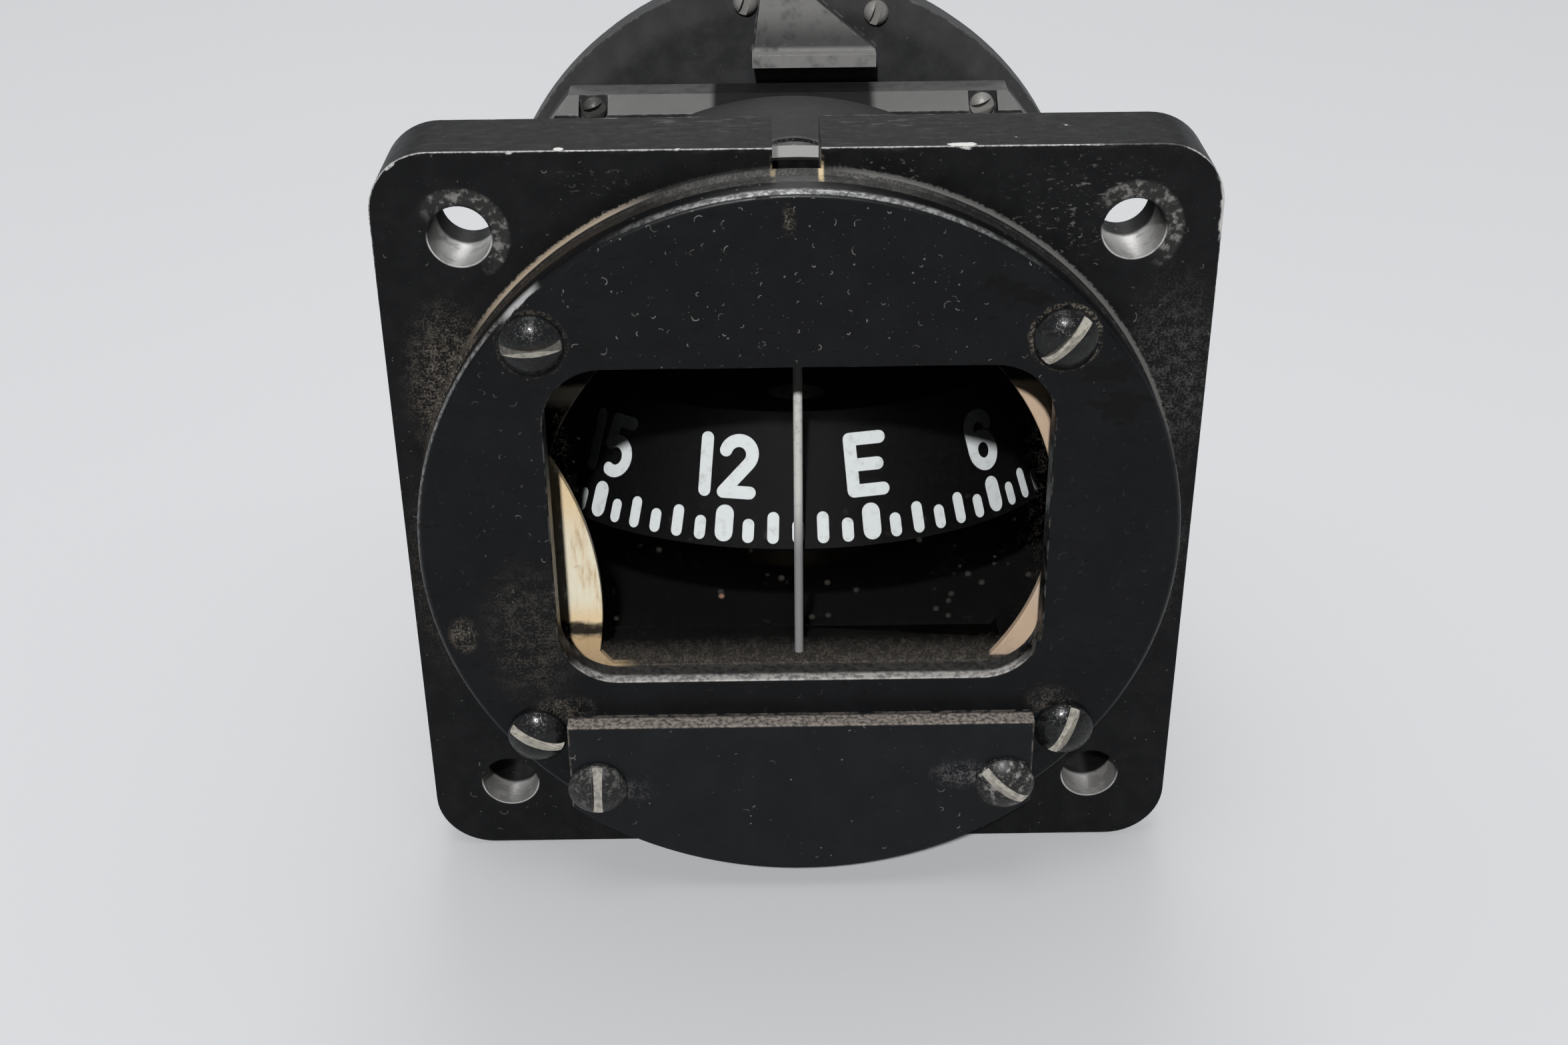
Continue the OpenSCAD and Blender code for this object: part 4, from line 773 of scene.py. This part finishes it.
def penStroke(bm, x, z, heading, moves, pen, height):
    way = Vector((math.cos(math.radians(heading)), math.sin(math.radians(heading)), 0))
    left = Vector((-way.y, way.x, 0)) * pen / 2
    here = Vector((x, z, height))
    bar = bm.edges.new([bm.verts.new(here - left), bm.verts.new(here + left)])
    penEnd(bm, here, here + left)
    for move in moves:
        if len(move) == 1:
            made = bmesh.ops.extrude_edge_only(bm, edges=[bar])["geom"]
            ahead = [g for g in made if isinstance(g, bmesh.types.BMVert)]
            bmesh.ops.translate(bm, verts=ahead, vec=way * move[0])
            here = here + way * move[0]
        else:
            radius, turn = move
            side = left.normalized() * (radius if turn > 0 else -radius)
            centre = here + side
            steps = max(dial["fewest"], int(abs(turn) / dial["arcStep"]))
            made = bmesh.ops.spin(bm, geom=list(bar.verts) + [bar], cent=centre, axis=(0, 0, 1),
                                  angle=math.radians(turn), steps=steps)["geom_last"]
            spun = Matrix.Rotation(math.radians(turn), 3, "Z")
            here, way, left = centre + spun @ (here - centre), spun @ way, spun @ left
        bar = [g for g in made if isinstance(g, bmesh.types.BMEdge)][0]
    penEnd(bm, here, here - left)


def ontoCard(bm, heading):  # wrap the flat drawing round the leaning band at that heading
    lean = math.radians(dial["lean"])
    for v in bm.verts:
        u, z, h = v.co
        r = dial["lowR"] - (z - dial["lowZ"]) * math.tan(lean)
        a = math.radians(dial["atLine"] - heading) + u / r
        r = r + h * math.cos(lean)
        v.co = Vector((r * math.sin(a), dial["axisY"] - r * math.cos(a), z + h * math.sin(lean))) * mm


def closeMarks(bm):  # give the flat drawing its thickness, downwards
    bmesh.ops.remove_doubles(bm, verts=bm.verts, dist=dial["merge"])
    for face in bm.faces:
        face.normal_update()
    bmesh.ops.reverse_faces(bm, faces=[f for f in bm.faces if f.normal.z < 0])
    made = bmesh.ops.extrude_face_region(bm, geom=bm.faces[:], use_keep_orig=True)["geom"]
    low = [g for g in made if isinstance(g, bmesh.types.BMVert)]
    bmesh.ops.translate(bm, verts=low, vec=(0, 0, -dial["thick"]))
    bmesh.ops.recalc_face_normals(bm, faces=bm.faces)


def drawnOnCard(name, drawings):
    whole = bmesh.new()
    for heading, strokes in drawings:
        for layer, (x, z, way, moves, pen) in enumerate(strokes):
            bm = bmesh.new()
            penStroke(bm, x, z, way, moves, pen, dial["proud"] + dial["layer"] * layer)
            closeMarks(bm)
            ontoCard(bm, heading)
            part = bpy.data.meshes.new("part")
            bm.to_mesh(part)
            bm.free()
            whole.from_mesh(part)
            bpy.data.meshes.remove(part)
    piece = addPiece(name, whole, "marks")
    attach(piece, "card")


def figureStrokes(word):
    wide = sum(figures[c][0] for c in word) + dial["gap"] * (len(word) - 1)
    x, strokes = -wide / 2, []
    for c in word:
        for strokeX, strokeZ, way, moves in figures[c][1]:
            strokes.append((x + strokeX, dial["figureZ"] + strokeZ, way, moves, dial["pen"]))
        x += figures[c][0] + dial["gap"]
    return strokes


def tickStroke(heading):
    thirty, ten = heading % 30 == 0, heading % 10 == 0
    pen = dial["thirtyPen"] if thirty else dial["tickPen"]
    top = dial["thirtyTop"] if thirty else dial["tenTop"] if ten else dial["fiveTop"]
    return [(0.0, dial["tickZ"] + pen / 2, 90, [(top - dial["tickZ"] - pen,)], pen)]


drawnOnCard("dialFigures", [(h, figureStrokes(word)) for h, word in headings.items()])
drawnOnCard("dialTicks", [(h, tickStroke(h)) for h in range(0, 360, 5)])
print("dial drawn")


# floor: leans so that flange and rear disc both stand on it
stage = {"size": 3.0, "restY": 7.0, "restZ": -30.0, "rearY": 55.6, "rearZ": -28.4, "clear": 0.02,
         "pale": (0.64, 0.65, 0.66, 1), "shade": (0.6, 0.61, 0.625, 1), "dim": (0.03, 0.03, 0.03, 1),
         "rough": 0.8, "gloss": 0.1}


def seenRays(start):  # 1 for what the camera sees, also in gloss and glass, 0 for light that bounces
    rays = start.add("ShaderNodeLightPath", None, None, "Is Camera Ray")
    seen = most(rays, rays.twin("Is Glossy Ray"), rays.twin("Is Transmission Ray"))
    return seen * fade(rays.twin("Diffuse Depth"), 0.6, 0.4)


def makeFloor():
    lean = math.atan2(stage["rearZ"] - stage["restZ"], stage["rearY"] - stage["restY"])
    bm = bmesh.new()
    bmesh.ops.create_grid(bm, x_segments=1, y_segments=1, size=stage["size"] / 2)
    bmesh.ops.rotate(bm, verts=bm.verts, cent=(0, 0, 0), matrix=Matrix.Rotation(lean, 3, "X"))
    drop = stage["restZ"] - stage["clear"] - stage["restY"] * math.tan(lean)
    bmesh.ops.translate(bm, verts=bm.verts, vec=(0, 0, drop * mm))
    mat, start, spot, *axes = newSkin("paleFloor")
    colour = tint(cloud(spot, 0.004, 2.0), stage["pale"], stage["shade"])
    colour = tint(seenRays(start), stage["dim"], colour)
    skins["floor"] = closeSkin(mat, start, {"Base Color": colour, "Roughness": stage["rough"],
                                            "Specular IOR Level": stage["gloss"]})
    addPiece("floor", bm, "floor")


# lamps: place in metres, size and power; all look at one point in the compass
lamps = {
    "flashLamp": ((-0.17, -1.552, 1.278), 0.1, 40.0), "topLamp": ((-0.05, -0.1, 0.5), 0.26, 0.35),
    "backLamp": ((0.0, 0.75, 0.75), 0.6, 2.3),
}
lampAim = (0, 0.01, 0)


def addLamp(name, place, size, power):
    lamp = bpy.data.lights.new(name, "AREA")
    lamp.shape, lamp.size, lamp.energy = "DISK", size, power
    holder = bpy.data.objects.new(name, lamp)
    holder.location = place
    holder.rotation_euler = (Vector(lampAim) - Vector(place)).to_track_quat("-Z", "Y").to_euler()
    bpy.context.scene.collection.objects.link(holder)


# room: soft fill from the sides and behind only
room = {"colour": (0.96, 0.975, 1.0, 1), "front": 0.01, "sides": 0.6, "shown": 0.42}


def makeSky():
    world = bpy.data.worlds.new("paleRoom")
    bpy.context.scene.world = world
    world.use_nodes = True
    world.node_tree.nodes.clear()
    start = Shade(world.node_tree)
    way = start.add("ShaderNodeTexCoord", None, None, "Generated")
    behind = start.add("ShaderNodeSeparateXYZ", None, {0: way}, "Y")
    soft = room["front"] + fade(behind, -0.2, 0.3) * room["sides"]
    strength = soft + seenRays(start) * (room["shown"] - soft)
    sky = start.add("ShaderNodeBackground", None, {"Color": room["colour"], "Strength": strength})
    start.add("ShaderNodeOutputWorld", None, {"Surface": sky})


makeFloor()
for name, (place, size, power) in lamps.items():
    addLamp(name, place, size, power)
makeSky()

# camera: place and turn worked out from the photo's straight edges and round bezel
cameraSet = {"place": (-0.0020988, -0.1323364, 0.0755555), "turn": (1.0536427, 0.0083876, -0.012138),
             "lens": 45.803, "sensor": 36.0, "near": 0.005, "far": 20.0}
camera = bpy.data.cameras.new("photoCamera")
camera.lens, camera.sensor_width, camera.sensor_fit = cameraSet["lens"], cameraSet["sensor"], "HORIZONTAL"
camera.clip_start, camera.clip_end = cameraSet["near"], cameraSet["far"]
holder = bpy.data.objects.new("photoCamera", camera)
holder.location, holder.rotation_euler = cameraSet["place"], cameraSet["turn"]
bpy.context.scene.collection.objects.link(holder)
bpy.context.scene.camera = holder
bpy.context.scene.view_settings.view_transform = "Standard"
print("stage and camera set")
